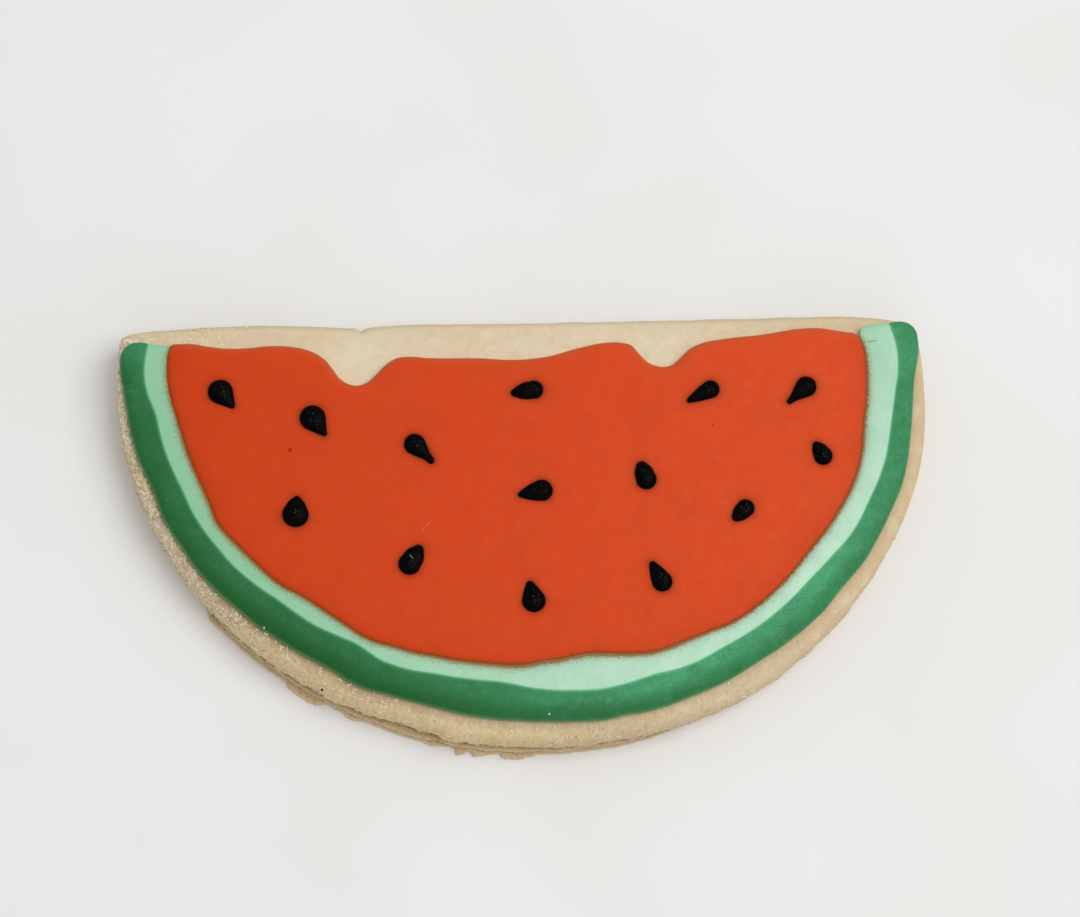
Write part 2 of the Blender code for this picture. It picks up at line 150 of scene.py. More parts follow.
# The red flood's wavy top edge, left to right, with the two dips where the biscuit shows.
FLOOD_ANGLES = (173.6, 367.4)
WAVY_TOP: Rows = (
    (-44.42, 24.28), (-44.08, 24.62), (-42.9, 24.78), (-41.0, 24.7), (-39.6, 24.4), (-37.5, 24.12),
    (-35.0, 24.1), (-31.6, 24.35), (-29.2, 24.2), (-27.1, 23.7), (-25.4, 22.75), (-24.2, 21.3),
    (-23.3, 20.0), (-22.4, 19.35), (-21.2, 19.08), (-20.0, 19.45), (-18.75, 20.55), (-17.5, 21.75),
    (-16.2, 22.52), (-14.8, 22.7), (-12.5, 22.5), (-6.0, 22.35), (-1.0, 22.08), (2.5, 22.4), (7.0, 23.55),
    (10.0, 24.1), (12.0, 24.1), (13.4, 23.7), (14.3, 22.6), (15.4, 21.45), (17.0, 20.87), (18.3, 21.05),
    (19.4, 21.9), (20.7, 23.1), (22.3, 23.85), (25.0, 24.35), (30.0, 24.85), (35.0, 25.55), (37.4, 25.6),
    (39.5, 25.25), (41.0, 25.0), (41.8, 24.87), (42.3, 24.55),
)  # fmt: skip

# The piped seeds: (bulb x and y, bulb radius, heading of the tip, whole length, tip radius, waist, bend). A
# waist above 0 draws the flanks in and one below 0 swells them. A bend moves the tip to its left.
SEEDS: Rows = (
    (-38.16, 18.26, 1.54, -50, 4.15, 0.38, 0, -0.1), (-26.92, 14.73, 1.6, -58, 4.33, 0.38, 0.02, 0.08),
    (-14.44, 11.15, 1.32, -46, 4.58, 0.43, 0.15, -0.07), (0.70, 17.88, 1.16, -172, 4.12, 0.48, -0.22, 0.02),
    (22.91, 17.54, 1.14, -154, 4.55, 0.32, -0.08, 0.03), (35.09, 17.69, 1.3, -141, 4.6, 0.32, 0.1, 0.07),
    (36.64, 8.72, 1.19, 117, 3.22, 0.5, -0.14, 0.02), (14.17, 6.14, 1.29, 106, 3.66, 0.75, -0.17, 0),
    (1.07, 4.99, 1.35, -169, 4.4, 0.35, -0.12, -0.03), (26.42, 2.19, 1.12, -139, 3.33, 0.6, -0.16, 0.03),
    (-29.42, 2.59, 1.61, 81, 3.93, 0.42, -0.15, 0.06), (-15.67, -3.93, 1.36, 55, 4.08, 0.66, -0.24, 0.03),
    (-0.59, -8.86, 1.46, 98, 3.95, 0.5, -0.04, 0.08), (15.43, -6.87, 1.27, 117, 4.12, 0.43, -0.09, -0.04),
)  # fmt: skip


def cubic(keys: Array, values: Array, at: Array) -> Array:
    """A smooth curve through values at increasing keys: Hermite pieces with slopes taken from the neighbours.

    Args:
        keys: increasing numbers.
        values: a number or a point for each key.
        at: where to read the curve.

    Returns:
        The curve there.
    """
    slopes = np.gradient(values, keys, axis=0)
    i = np.clip(np.searchsorted(keys, at, side="right") - 1, 0, len(keys) - 2)
    shape = (-1,) + (1,) * (values.ndim - 1)
    span = (keys[i + 1] - keys[i]).reshape(shape)
    t = (at - keys[i]).reshape(shape) / span
    start = (2 * t**3 - 3 * t**2 + 1) * values[i] + (t**3 - 2 * t**2 + t) * span * slopes[i]
    end = (3 * t**2 - 2 * t**3) * values[i + 1] + (t**3 - t**2) * span * slopes[i + 1]
    return start + end


def read(rows: Rows, at: Array, column: int = 1) -> Array:
    """Reads one column of a table at some keys by a smooth curve, level beyond the table's ends.

    Args:
        rows: the table, with its keys in the first column.
        at: the keys to read at.
        column: which column to read.

    Returns:
        The values there.
    """
    table = np.asarray(rows, float)
    at = np.clip(at, table[0, 0], table[-1, 0])
    return cubic(table[:, 0], table[:, column], at.ravel()).reshape(at.shape)


def lengths(points: Array) -> Array:
    """Arc length from the first point to each of a line of points."""
    return np.concatenate([[0.0], np.cumsum(np.linalg.norm(np.diff(points, axis=0), axis=1))])


def evenly(points: Array, spacing: float) -> Array:
    """Points about a spacing apart on a smooth curve through the given ones, with both ends.

    Args:
        points: points on the curve, in order.
        spacing: distance between neighbours along the curve.

    Returns:
        The new points.
    """
    along = lengths(points)
    fine = cubic(along, points, np.linspace(0, along[-1], 40 * len(points)))
    along = lengths(fine)
    at = np.linspace(0, along[-1], int(np.ceil(along[-1] / spacing)) + 1)
    return np.stack([np.interp(at, along, fine[:, axis]) for axis in range(points.shape[1])], axis=-1)


def round_edge(angle: Array, inset: Array) -> Array:
    """The point of the ellipse at an angle, moved in by the inset along the ellipse's normal.

    Args:
        angle: ellipse angles in degrees.
        inset: distances in.

    Returns:
        Their places in plan, with x and y on the last axis.
    """
    turn = np.radians(angle)
    outward = np.stack([np.cos(turn) / HALF_WIDTH, np.sin(turn) / HALF_DEPTH], axis=-1)
    outward /= np.linalg.norm(outward, axis=-1, keepdims=True)
    on_ellipse = np.stack([HALF_WIDTH * np.cos(turn), CENTRE_Y + HALF_DEPTH * np.sin(turn)], axis=-1)
    return on_ellipse - outward * np.asarray(inset)[..., None]


def along_edge(angle: Array) -> Array:
    """About the distance in mm round the edge at an angle."""
    return np.radians(angle) * 0.5 * (HALF_WIDTH + HALF_DEPTH)


def blur(ring: Array, reach: float) -> Array:
    """Blurs values round a closed ring by a bell curve whose reach is a number of points."""
    bell = np.exp(-2 * (np.pi * np.fft.fftfreq(len(ring)) * reach) ** 2)
    return np.fft.ifft(np.fft.fft(ring, axis=0) * bell[:, None], axis=0).real


def outward_of(ring: Array) -> Array:
    """Unit normals, pointing out, of a closed anticlockwise ring of points in plan.

    Args:
        ring: the points.

    Returns:
        A normal for each.
    """
    along = np.roll(ring, -1, axis=0) - np.roll(ring, 1, axis=0)
    across = np.stack([along[:, 1], -along[:, 0]], axis=-1)
    return across / np.linalg.norm(across, axis=-1, keepdims=True)


def inner_guide(ring: Array, distance: float, reach: float) -> Array:
    """A closed ring inside another: the ring blurred over a reach in mm and moved in by a distance."""
    soft = blur(ring, reach / np.linalg.norm(ring[1] - ring[0]))
    return soft - outward_of(soft) * distance


def between(first: Array, last: Array, parts: Array) -> Array:
    """Rings between two rings of as many points, at parts of the way from the first to the last."""
    return first + (last - first) * np.asarray(parts)[:, None, None]


def spine(ring: Array, centre: tuple[float, float], half: float) -> Array:
    """A sliver of an oval along X inside a ring, with points in the directions of the ring's, in their order.

    Args:
        ring: the closed ring.
        centre: the sliver's middle.
        half: half its length; it is SLIVER wide each way.

    Returns:
        The sliver's points, which never turn back.
    """
    away = (ring - centre) / np.abs(ring - centre).max(axis=0)
    turn = np.maximum.accumulate(np.unwrap(np.arctan2(away[:, 1], away[:, 0])))
    return np.asarray(centre) + np.stack([half * np.cos(turn), SLIVER * np.sin(turn)], axis=-1)


def distance_to(line: Array, rings: Array) -> Array:
    """Distance in plan from each point of some rings to the nearest point of a line, ring by ring."""
    return np.stack([np.linalg.norm(ring[:, None] - line[None], axis=-1).min(axis=1) for ring in rings])


def noise(points: Array, cell: float, seed: int, layers: int = 1) -> Array:
    """Smooth noise: random numbers from -1 to 1 on a cubic lattice, blended between with a fifth-degree step.

    Args:
        points: places, with x, y and z on the last axis.
        cell: the lattice's spacing, about half the size of a bump.
        seed: which random numbers to take.
        layers: how many to add up, each with half the cell and half the height of the one before.

    Returns:
        One number for each place.
    """
    total = np.zeros(points.shape[:-1])
    for layer in range(layers):
        numbers = np.random.default_rng(seed + layer).uniform(-1, 1, 4096) / 2**layer
        scaled = points / (cell / 2**layer)
        base = np.floor(scaled).astype(np.int64)
        part = scaled - base
        ease = part**3 * (part * (part * 6 - 15) + 10)
        for corner in np.ndindex(2, 2, 2):
            x, y, z = np.moveaxis(base + corner, -1, 0)
            weight = np.prod(np.where(corner, ease, 1 - ease), axis=-1)
            total += weight * numbers[((x * 73856093) ^ (y * 19349663) ^ (z * 83492791)) & 4095]
    return total


def noise_along(turn: Array, cell: float, seed: int, layers: int = 1) -> Array:
    """The same noise on a line, so that it changes with the distance round the edge alone.

    Args:
        turn: ellipse angles in degrees.
        cell, seed, layers: as for the noise.

    Returns:
        One number for each angle.
    """
    around = along_edge(turn)
    return noise(np.stack([around, 0 * around, 0 * around], axis=-1), cell, seed, layers)


def ramp(low: float, high: float, value: Array) -> Array:
    """Rises smoothly from 0 at the low value to 1 at the high one.

    Args:
        low: where it starts.
        high: where it is full.
        value: where to read it.

    Returns:
        A number from 0 to 1 by t * t * (3 - 2 * t).
    """
    t = np.clip((value - low) / (high - low), 0, 1)
    return t * t * (3 - 2 * t)


def stretch(ends: tuple[float, float, float, float], value: Array) -> Array:
    """Rises from 0 to 1 between the first two of four ends and falls back to 0 between the last two."""
    return ramp(ends[0], ends[1], value) * (1 - ramp(ends[2], ends[3], value))


def quarter_circle(part: Array) -> Array:
    """Rises from 0 to 1 as a quarter circle does while the part goes from 0 to 1, and then stays at 1."""
    return np.sqrt(1 - (1 - np.clip(part, 0, 1)) ** 2)


def with_height(plan: Array, height: Array) -> Array:
    """Puts a height on each point of a plan."""
    return np.concatenate([plan, np.broadcast_to(height, plan.shape[:-1])[..., None]], axis=-1)


def grid_normals(grid: Array) -> Array:
    """Unit normals of a grid whose columns close on themselves: the cross product of its two ways.

    Args:
        grid: points by row and column.

    Returns:
        A normal for each.
    """
    normal = np.cross(np.roll(grid, -1, axis=1) - np.roll(grid, 1, axis=1), np.gradient(grid, axis=0))
    return normal / np.maximum(np.linalg.norm(normal, axis=-1, keepdims=True), 1e-12)


def loft_faces(rows: int, columns: int) -> list[list[int]]:
    """Faces of a stack of closed rings, with one flat face across the first and one across the last.

    Args:
        rows: how many rings there are.
        columns: how many points each has.

    Returns:
        Point numbers of each face.
    """
    index = np.arange(rows * columns).reshape(rows, columns)
    turned = np.roll(index, -1, axis=1)
    quads = np.stack([index[:-1], turned[:-1], turned[1:], index[1:]], axis=-1).reshape(-1, 4)
    return quads.tolist() + [index[0][::-1].tolist(), index[-1].tolist()]


def linear(shade: str) -> tuple[float, float, float, float]:
    """Turns an sRGB hex colour into the linear RGBA that a shader takes."""
    srgb = np.array([int(shade[i : i + 2], 16) for i in (1, 3, 5)]) / 255
    return (*np.where(srgb <= 0.04045, srgb / 12.92, ((srgb + 0.055) / 1.055) ** 2.4), 1.0)


def add_node(
    tree: bpy.types.NodeTree, kind: str, inputs: dict | None = None, **settings: object
) -> bpy.types.Node:
    """Adds a node, gives it its settings, and fills or links its inputs.

    Args:
        tree: the material's node tree.
        kind: the node's type name.
        inputs: a value or another node's output for each named or numbered input.
        settings: the node's own properties.

    Returns:
        The new node.
    """
    node = tree.nodes.new(kind)
    for name, value in settings.items():
        setattr(node, name, value)
    for key, value in (inputs or {}).items():
        if isinstance(value, Socket):
            tree.links.new(value, node.inputs[key])
        else:
            node.inputs[key].default_value = value
    return node


# The Mix node's colour sockets, which share their names with its number and vector sockets.
MIX_A, MIX_B, MIX_RESULT = 6, 7, 2


class Painter:
    """A material in the making: colour layers and bumps that are laid over one another.

    Every amount is a value from 0 to 1. Sizes are in millimetres.
    """

    def __init__(self, name: str, shade: str) -> None:
        """Starts a material from one even colour.

        Args:
            name: the material's name.
            shade: the colour.
        """
        self.material = bpy.data.materials.new(name)
        self.material.use_nodes = True
        self.tree = self.material.node_tree
        self.shader = self.tree.nodes["Principled BSDF"]
        self.place = add_node(self.tree, "ShaderNodeTexCoord").outputs["Object"]
        self.colour = add_node(self.tree, "ShaderNodeRGB").outputs[0]
        self.colour.default_value = linear(shade)
        self.normal: Socket | None = None

    def noise(self, size: float, detail: float = 2.0) -> Socket:
        """A noise whose bumps are about a size."""
        inputs = {"Vector": self.place, "Scale": 1 / (size * MM), "Detail": detail}
        return add_node(self.tree, "ShaderNodeTexNoise", inputs).outputs["Fac"]

    def streaks(self, width: float, length: float) -> Socket:
        """A noise drawn out across the edge, from the piece's own places round the edge and in from it.

        Args:
            width: size of a streak along the edge.
            length: its size across.

        Returns:
            The noise.
        """
        sides = {"X": self.attribute("around"), "Y": self.attribute("inward")}
        place = add_node(self.tree, "ShaderNodeCombineXYZ", sides).outputs[0]
        inputs = {"Vector": place, "Scale": (1 / width, 1 / length, 1.0)}
        drawn = add_node(self.tree, "ShaderNodeMapping", inputs).outputs[0]
        inputs = {"Vector": drawn, "Scale": 1.0, "Detail": 3.0}
        return add_node(self.tree, "ShaderNodeTexNoise", inputs).outputs["Fac"]

    def specks(self, spacing: float, radius: float) -> Socket:
        """Round dots, one for each cell of a spacing.

        Args:
            spacing: about the distance between dots.
            radius: of a dot, to its faint rim.

        Returns:
            1 in the dots and 0 between them.
        """
        inputs = {"Vector": self.place, "Scale": 1 / (spacing * MM)}
        cells = add_node(self.tree, "ShaderNodeTexVoronoi", inputs).outputs["Distance"]
        return self.span(cells, radius / spacing, 0.6 * radius / spacing)

    def span(
        self, value: Socket, low: float, high: float, to_low: float = 0.0, to_high: float = 1.0
    ) -> Socket:
        """Maps the span of a value from low to high onto another, in a straight line, clamped."""
        inputs = {"Value": value, "From Min": low, "From Max": high, "To Min": to_low, "To Max": to_high}
        return add_node(self.tree, "ShaderNodeMapRange", inputs).outputs["Result"]

    def math(self, operation: str, first: Socket, second: Socket | float) -> Socket:
        """Combines two values by an operation of the Math node."""
        return add_node(self.tree, "ShaderNodeMath", {0: first, 1: second}, operation=operation).outputs[0]

    def times(self, first: Socket, second: Socket | float) -> Socket:
        """Multiplies two values."""
        return self.math("MULTIPLY", first, second)

    def dissolve(self, amount: Socket, grain: float) -> Socket:
        """Breaks an amount up into specks of a grain size that lie as densely as the amount is high.

        Args:
            amount: how much there is.
            grain: size of a speck.

        Returns:
            The amount in specks, and 0 where there was nearly none.
        """
        depth = self.math("SUBTRACT", amount, self.span(self.noise(grain, 3.0), 0.3, 0.7))
        return self.times(self.span(depth, -0.3, 0.3), self.span(amount, 0.02, 0.2))

    def attribute(self, name: str) -> Socket:
        """The piece's own attribute of that name."""
        return add_node(self.tree, "ShaderNodeAttribute", attribute_name=name).outputs["Fac"]

    def layer(self, shade: str, amount: Socket, strength: float = 1.0) -> None:
        """Lays a colour over what is there."""
        inputs = {0: self.times(amount, strength), MIX_A: self.colour, MIX_B: linear(shade)}
        self.colour = add_node(self.tree, "ShaderNodeMix", inputs, data_type="RGBA").outputs[MIX_RESULT]

    def coat(self, coat: "Coat") -> None:
        """Lays one coat over what is there: its pattern times its attribute is the amount.

        Args:
            coat: the colour and where it lies.
        """
        amount = self.attribute(coat.attribute) if coat.attribute else None
        if coat.pattern:
            pattern = self.streaks(*coat.pattern) if coat.drawn else self.noise(*coat.pattern)
            pattern = self.span(pattern, *coat.span)
            amount = self.times(pattern, amount) if amount else pattern
        self.layer(coat.shade, amount, coat.strength)

    def bump(self, height: Socket, depth: float) -> None:
        """Adds relief of a depth to the bumps so far.

        Args:
            height: the relief, from 0 to 1.
            depth: how deep it is from 0 to 1.
        """
        inputs = {"Height": height, "Distance": depth * MM, "Strength": 1.0}
        if self.normal is not None:
            inputs["Normal"] = self.normal
        self.normal = add_node(self.tree, "ShaderNodeBump", inputs).outputs[0]

    def finish(self, roughness: tuple[float, float], patch: float, specular: float) -> bpy.types.Material:
        """Connects colour and bumps, and lets the roughness wander between two values over patches of a size.

        Args:
            roughness: the two values.
            patch: the size.
            specular: strength of the reflection straight on.

        Returns:
            The material.
        """
        wander = self.span(self.noise(patch), 0.3, 0.7, *roughness)
        self.tree.links.new(wander, self.shader.inputs["Roughness"])
        self.tree.links.new(self.colour, self.shader.inputs["Base Color"])
        self.tree.links.new(self.normal, self.shader.inputs["Normal"])
        self.shader.inputs["Specular IOR Level"].default_value = specular
        return self.material


@dataclass(frozen=True)
class Tint:
    """A colour that shows where an attribute of the piece is high, dissolved into specks of a size in mm."""

    attribute: str
    shade: str
    strength: float
    grain: float = 0.0


@dataclass(frozen=True)
class RoyalIcing:
    """Dried royal icing: sugar paste that levelled itself while wet. It is matt to satin, with a faint orange
    peel, a few light sugar specks and a colour that wanders a little where it was mixed by hand.

    Attributes:
        name: the material's name.
        shade: its colour where the piece's tone, which is partly painted light, is 0.
        bright: its colour where that tone is 1.
        deep: colour of the faint darker mottling.
        speck: colour of the light specks.
        tints: further colours along the piece's edges.
        streak: how strongly fine streaks run across the line.
        grain: strength of the finest light grain where the tone is 1; on the lit greens it is painted
            sparkle.
        mottle: strength of the mottling.
        roughness: lowest and highest roughness.
        peel: depth in mm of the orange peel.
        wrinkle: depth in mm of drying wrinkles.
        specular: strength of the reflection straight on.
        flecks: strength of the tiny painted glints where the crown attribute is high.
        fleck: colour of those painted glints.
    """

    name: str
    shade: str
    bright: str
    deep: str
    speck: str
    tints: tuple[Tint, ...] = ()
    streak: float = 0.0
    grain: float = 0.12
    mottle: float = 0.3
    roughness: tuple[float, float] = (0.42, 0.55)
    peel: float = 0.01
    wrinkle: float = 0.0
    specular: float = 0.12
    flecks: float = 0.0
    fleck: str = "#6E746E"

    def make(self) -> bpy.types.Material:
        """Builds the material."""
        paint = Painter(self.name, self.shade)
        # The tone along the piece, which is partly painted light, with broad and fine mottling where the
        # colour was mixed in by hand.
        paint.layer(self.bright, paint.attribute("tone"))
        paint.layer(self.deep, paint.span(paint.noise(4.0, 4.0), 0.45, 0.75), self.mottle)
        paint.layer(self.deep, paint.span(paint.noise(0.5, 3.0), 0.5, 0.8), 0.7 * self.mottle)
        # Painted glints: small grey dots on the crown stand in for highlights on its wrinkles.
        if self.flecks:
            dots = paint.times(paint.specks(0.36, 0.075), paint.attribute("crown"))
            paint.layer(self.fleck, dots, self.flecks)
        if self.streak:
            paint.layer(self.speck, paint.span(paint.streaks(0.25, 1.6), 0.5, 0.8), self.streak)
            paint.layer(self.deep, paint.span(paint.streaks(0.4, 2.5), 0.5, 0.25), self.streak)
        # Light grain where the tone is high, partly sugar and partly painted sparkle where the greens are
        # lit, and single specks everywhere.
        tone = paint.attribute("tone")
        fine = paint.times(paint.span(paint.noise(0.25, 3.0), 0.5, 0.62), paint.times(tone, tone))
        paint.layer(self.speck, fine, self.grain)
        broad = paint.times(paint.span(paint.noise(1.1, 4.0), 0.5, 0.75), tone)
        paint.layer(self.speck, broad, 0.8 * self.grain)
        paint.layer(self.speck, paint.specks(2.4, 0.1), 0.4)
        for tint in self.tints:
            amount = paint.attribute(tint.attribute)
            amount = paint.dissolve(amount, tint.grain) if tint.grain else amount
            paint.layer(tint.shade, amount, tint.strength)
        # The orange peel and, on the seeds, the wrinkles of a skin that dried first.
        paint.bump(paint.noise(0.9), self.peel)
        paint.bump(paint.noise(0.25), 0.35 * self.peel)
        if self.wrinkle:
            paint.bump(paint.noise(0.3, 3.0), self.wrinkle)
        return paint.finish(self.roughness, 1.5, self.specular)


@dataclass(frozen=True)
class Coat:
    """One colour laid over the dough, where an attribute of the piece is high, where a pattern is, or both.

    Attributes:
        shade: the colour.
        strength: how much of it there is where it is full.
        attribute: the attribute's name, or nothing for a coat that lies everywhere.
        pattern: (size, detail) of a noise or (width, length) of streaks in mm, or nothing for an even coat.
        span: the pattern's values where the colour starts and where it is full.
        drawn: whether the pattern is streaks drawn across the edge.
    """

    shade: str
    strength: float
    attribute: str = ""
    pattern: tuple[float, float] | None = None
    span: tuple[float, float] = (0.5, 0.7)
    drawn: bool = False


# The dough's colours, from the whole biscuit's broad tones to the marks of single places.
DOUGH_COATS = (
    # Creamier where the tone is high, which is partly painted light: lifted on the left margin and held low
    # where the lamp falls on the right.
    Coat("#DED1B3", 1.0, "tone"),  # creamier where it baked least
    # Painted light: this lighter yellow lifts the front wall's shoulder, which lies in shade, over the
    # dough's own yellower colour there.
    Coat("#E2C98F", 0.6, "warm"),  # yellower down the front wall
    Coat("#C8AE84", 0.35, "", (1.6, 4.0), (0.5, 0.75)),  # broad darker and lighter clouds
    Coat("#E8DBBC", 0.35, "", (2.2, 3.0)),
    Coat("#EBDDBB", 0.2, "", (0.35, 3.0), (0.55, 0.7)),  # the fine crumb
    Coat("#F0E7D4", 1.0, "coarse", (0.42, 4.0), (0.47, 0.59)),  # sugar and pits of the coarse left margin
    # The dark coat in the coarse margin's pits is painted shade.
    Coat("#AF927A", 0.8, "coarse", (0.45, 4.0), (0.55, 0.66)),
    Coat("#EBDAB4", 0.35, "dragged", (0.45, 1.5), drawn=True),  # light and dark marks of the cutter in front
    Coat("#BB9F74", 0.35, "dragged", (0.9, 2.0), (0.5, 0.3), drawn=True),
    # The lip coat is partly browner torn dough and partly painted shade of its recess under the overhang, and
    # its dark pores are painted shade.
    Coat("#BFA274", 0.8, "lip"),  # the torn lip: browner, with pale crumbs and dark pores
    Coat("#DDC99F", 0.55, "lip", (0.5, 4.0), (0.52, 0.66)),
    Coat("#84683C", 0.6, "lip", (0.3, 4.0), (0.54, 0.66)),
    # Painted shade in the lip's cracks and in the hollow under the overhang.
    Coat("#80642F", 0.75, "crease"),  # its cracks
    Coat("#8A6A38", 1.0, "icing_side"),  # darker beside the icing, and a little green at the joint
    Coat("#93A56E", 0.55, "icing_rim"),
    Coat("#BFAE8C", 0.45, "back_band"),  # greyer where the cut back edge turns down
)


@dataclass(frozen=True)
class BakedDough:
    """Pale baked sugar dough, rolled and cut: a matt, fine crumb. The coarse left margin is lighter and
    sugary, the front is streaked where the cutter dragged, and the torn lip is browner. Painted light and
    shade lie on it too: the left margin and the front shoulder are lifted, and the coarse pits and the lip's
    recess, pores and cracks are darkened."""

    name: str = "baked_dough"
    shade: str = "#CDB48F"
    coats: tuple[Coat, ...] = DOUGH_COATS

    def make(self) -> bpy.types.Material:
        """Builds the material."""
        paint = Painter(self.name, self.shade)
        for coat in self.coats:
            paint.coat(coat)
        paint.bump(paint.noise(0.8, 4.0), 0.03)
        paint.bump(paint.noise(0.25, 3.0), 0.025)
        return paint.finish((0.72, 0.9), 0.8, 0.15)


@dataclass(frozen=True)
class Loose:
    """One stuff that lies loose on the cookie: sugar is light and bright, crumbs and specks are dull.

    Attributes:
        name: the material's name.
        shade: main colour.
        other: colour that some of it leans to.
        roughness: lowest and highest roughness.
    """

    name: str
    shade: str
    other: str
    roughness: tuple[float, float]

    def make(self) -> bpy.types.Material:
        """Builds the material."""
        paint = Painter(self.name, self.shade)
        paint.layer(self.other, paint.span(paint.noise(0.5), 0.4, 0.6))
        paint.bump(paint.noise(0.12), 0.01)
        return paint.finish(self.roughness, 0.3, 0.3)


Finish = RoyalIcing | BakedDough | Loose


class Solid(Enum):
    """What a piece stands for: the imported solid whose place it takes, and its material slot."""

    BISCUIT = ("biscuit", "baked_dough")
    DARK_LINE = ("dark_green_icing", "dark_green_icing")
    PALE_LINE = ("pale_green_icing", "pale_green_icing")
    FLOOD = ("red_icing", "red_icing")
    LOOSE = ("", "baked_dough")

    def top(self) -> float:
        """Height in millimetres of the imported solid's highest point."""
        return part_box(self.value[0])[1].z / MM


def make_piece(
    name: str, points: Array, faces: list[list[int]], finish: Finish, solid: Solid, **attributes: Array
) -> bpy.types.Object:
    """Makes a smooth closed piece from points in millimetres, with its finish on it and its faces outward.

    Args:
        name: the piece's name.
        points: its points, with x, y and z on the last axis.
        faces: point numbers of each face.
        finish: what it is made of.
        solid: what it stands for.
        attributes: a number for each point under each attribute's name.

    Returns:
        The object, at the origin.
    """
    mesh = bpy.data.meshes.new(name)
    mesh.from_pydata((points.reshape(-1, 3) * MM).tolist(), [], faces)
    build = bmesh.new()
    build.from_mesh(mesh)
    bmesh.ops.recalc_face_normals(build, faces=build.faces)
    build.to_mesh(mesh)
    build.free()
    mesh.shade_smooth()
    for title, values in attributes.items():
        held = mesh.attributes.new(title, "FLOAT", "POINT")
        held.data.foreach_set("value", np.broadcast_to(values, points.shape[:-1]).ravel().astype(np.float32))
    mesh.materials.append(finish.make())
    piece = bpy.data.objects.new(name, mesh)
    bpy.context.scene.collection.objects.link(piece)
    node, slot = solid.value
    if node:
        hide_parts(node)
    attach(piece, BODY)
    LOG.info("%s: %d points, %d faces", name, len(mesh.vertices), len(mesh.polygons))
    return piece


# Stretches of the outline, each by the two angles over which it starts and the two over which it ends.
TORN = (214, 219, 283, 293)
DRAGGED = (225, 245, 280, 300)
DRAG_MARKS = (225, 245, 285, 305)
SCALLOPED = (284, 292, 325, 345)
# Where the front's yellow coat of painted light lies.
YELLOW_SIDE = (196, 212, 262, 285)
GREEN_JOINT = (175, 183, 288, 302)

# How far in from the edge the dough under the icing and on the underside is taken to be, for its material.
HIDDEN = 9.0

# The wall, from the underside up: (height, inset from the widest line, the same above the torn lip).
WALL: Rows = (
    (0.0, 0.9, 1.5), (0.03, 0.55, 1.3), (0.12, 0.36, 1.2), (0.3, 0.24, 1.1), (0.55, 0.17, 1.0),
    (0.8, 0.13, 0.9), (1.05, 0.09, 0.75), (1.25, 0.07, 0.55), (1.4, 0.05, 0.3), (1.52, 0.04, 0.12),
    (1.7, 0.02, 0.02), (2.0, 0.0, 0.0), (2.5, 0.0, 0.0), (3.1, 0.0, 0.0),
)  # fmt: skip

# How creamy the dough is round the outline, where the angle runs on past 360 along the back edge. It is
# partly the dough's own paler patches and partly painted light: high on the left margin, which faces away
# from the lamp, and low on the right, where the lamp falls.
CREAM: Rows = (
    (172, 0.45), (186, 0.5), (200, 1.0), (212, 0.55), (222, 0.2), (250, 0.1), (285, 0.12), (300, 0.2),
    (318, 0.0), (352, 0.0), (364, 0.1), (368, 0.2), (376, 0.25), (390, 0.3), (412, 0.55), (440, 0.68),
    (462, 0.48), (482, 0.66), (500, 0.42), (532.2, 0.4),
)  # fmt: skip

# How dark the dough is beside the dark green line, where moisture and shade gather, round the front.
CONTACT: Rows = (
    (172, 0.1), (182, 0.15), (190, 0.4), (200, 0.65), (215, 0.8), (240, 0.75), (248, 0.55), (262, 0.4),
    (280, 0.33), (292, 0.18), (310, 0.1), (360, 0.05), (533, 0.0),
)  # fmt: skip

# How coarse the skin is round the outline, where the angle runs on past 360 along the back edge, and how
# widely the top is rounded down to it: (angle, coarseness, width of the shoulder).
SKIN: Rows = (
    (172, 0.9, 0.7), (176, 1.0, 0.7), (205, 1.0, 1.6), (216, 0.7, 2.2), (228, 0.35, 2.3), (250, 0.25, 2.3),
    (290, 0.15, 2.2), (320, 0.08, 2.1), (350, 0.05, 1.8), (360, 0.05, 1.3), (364, 0.05, 0.8),
    (368, 0.05, 0.7), (380, 0.08, 1.2), (450, 0.1, 1.3), (515, 0.2, 1.3), (529, 0.5, 0.8),
    (532.2, 0.9, 0.7),
)  # fmt: skip


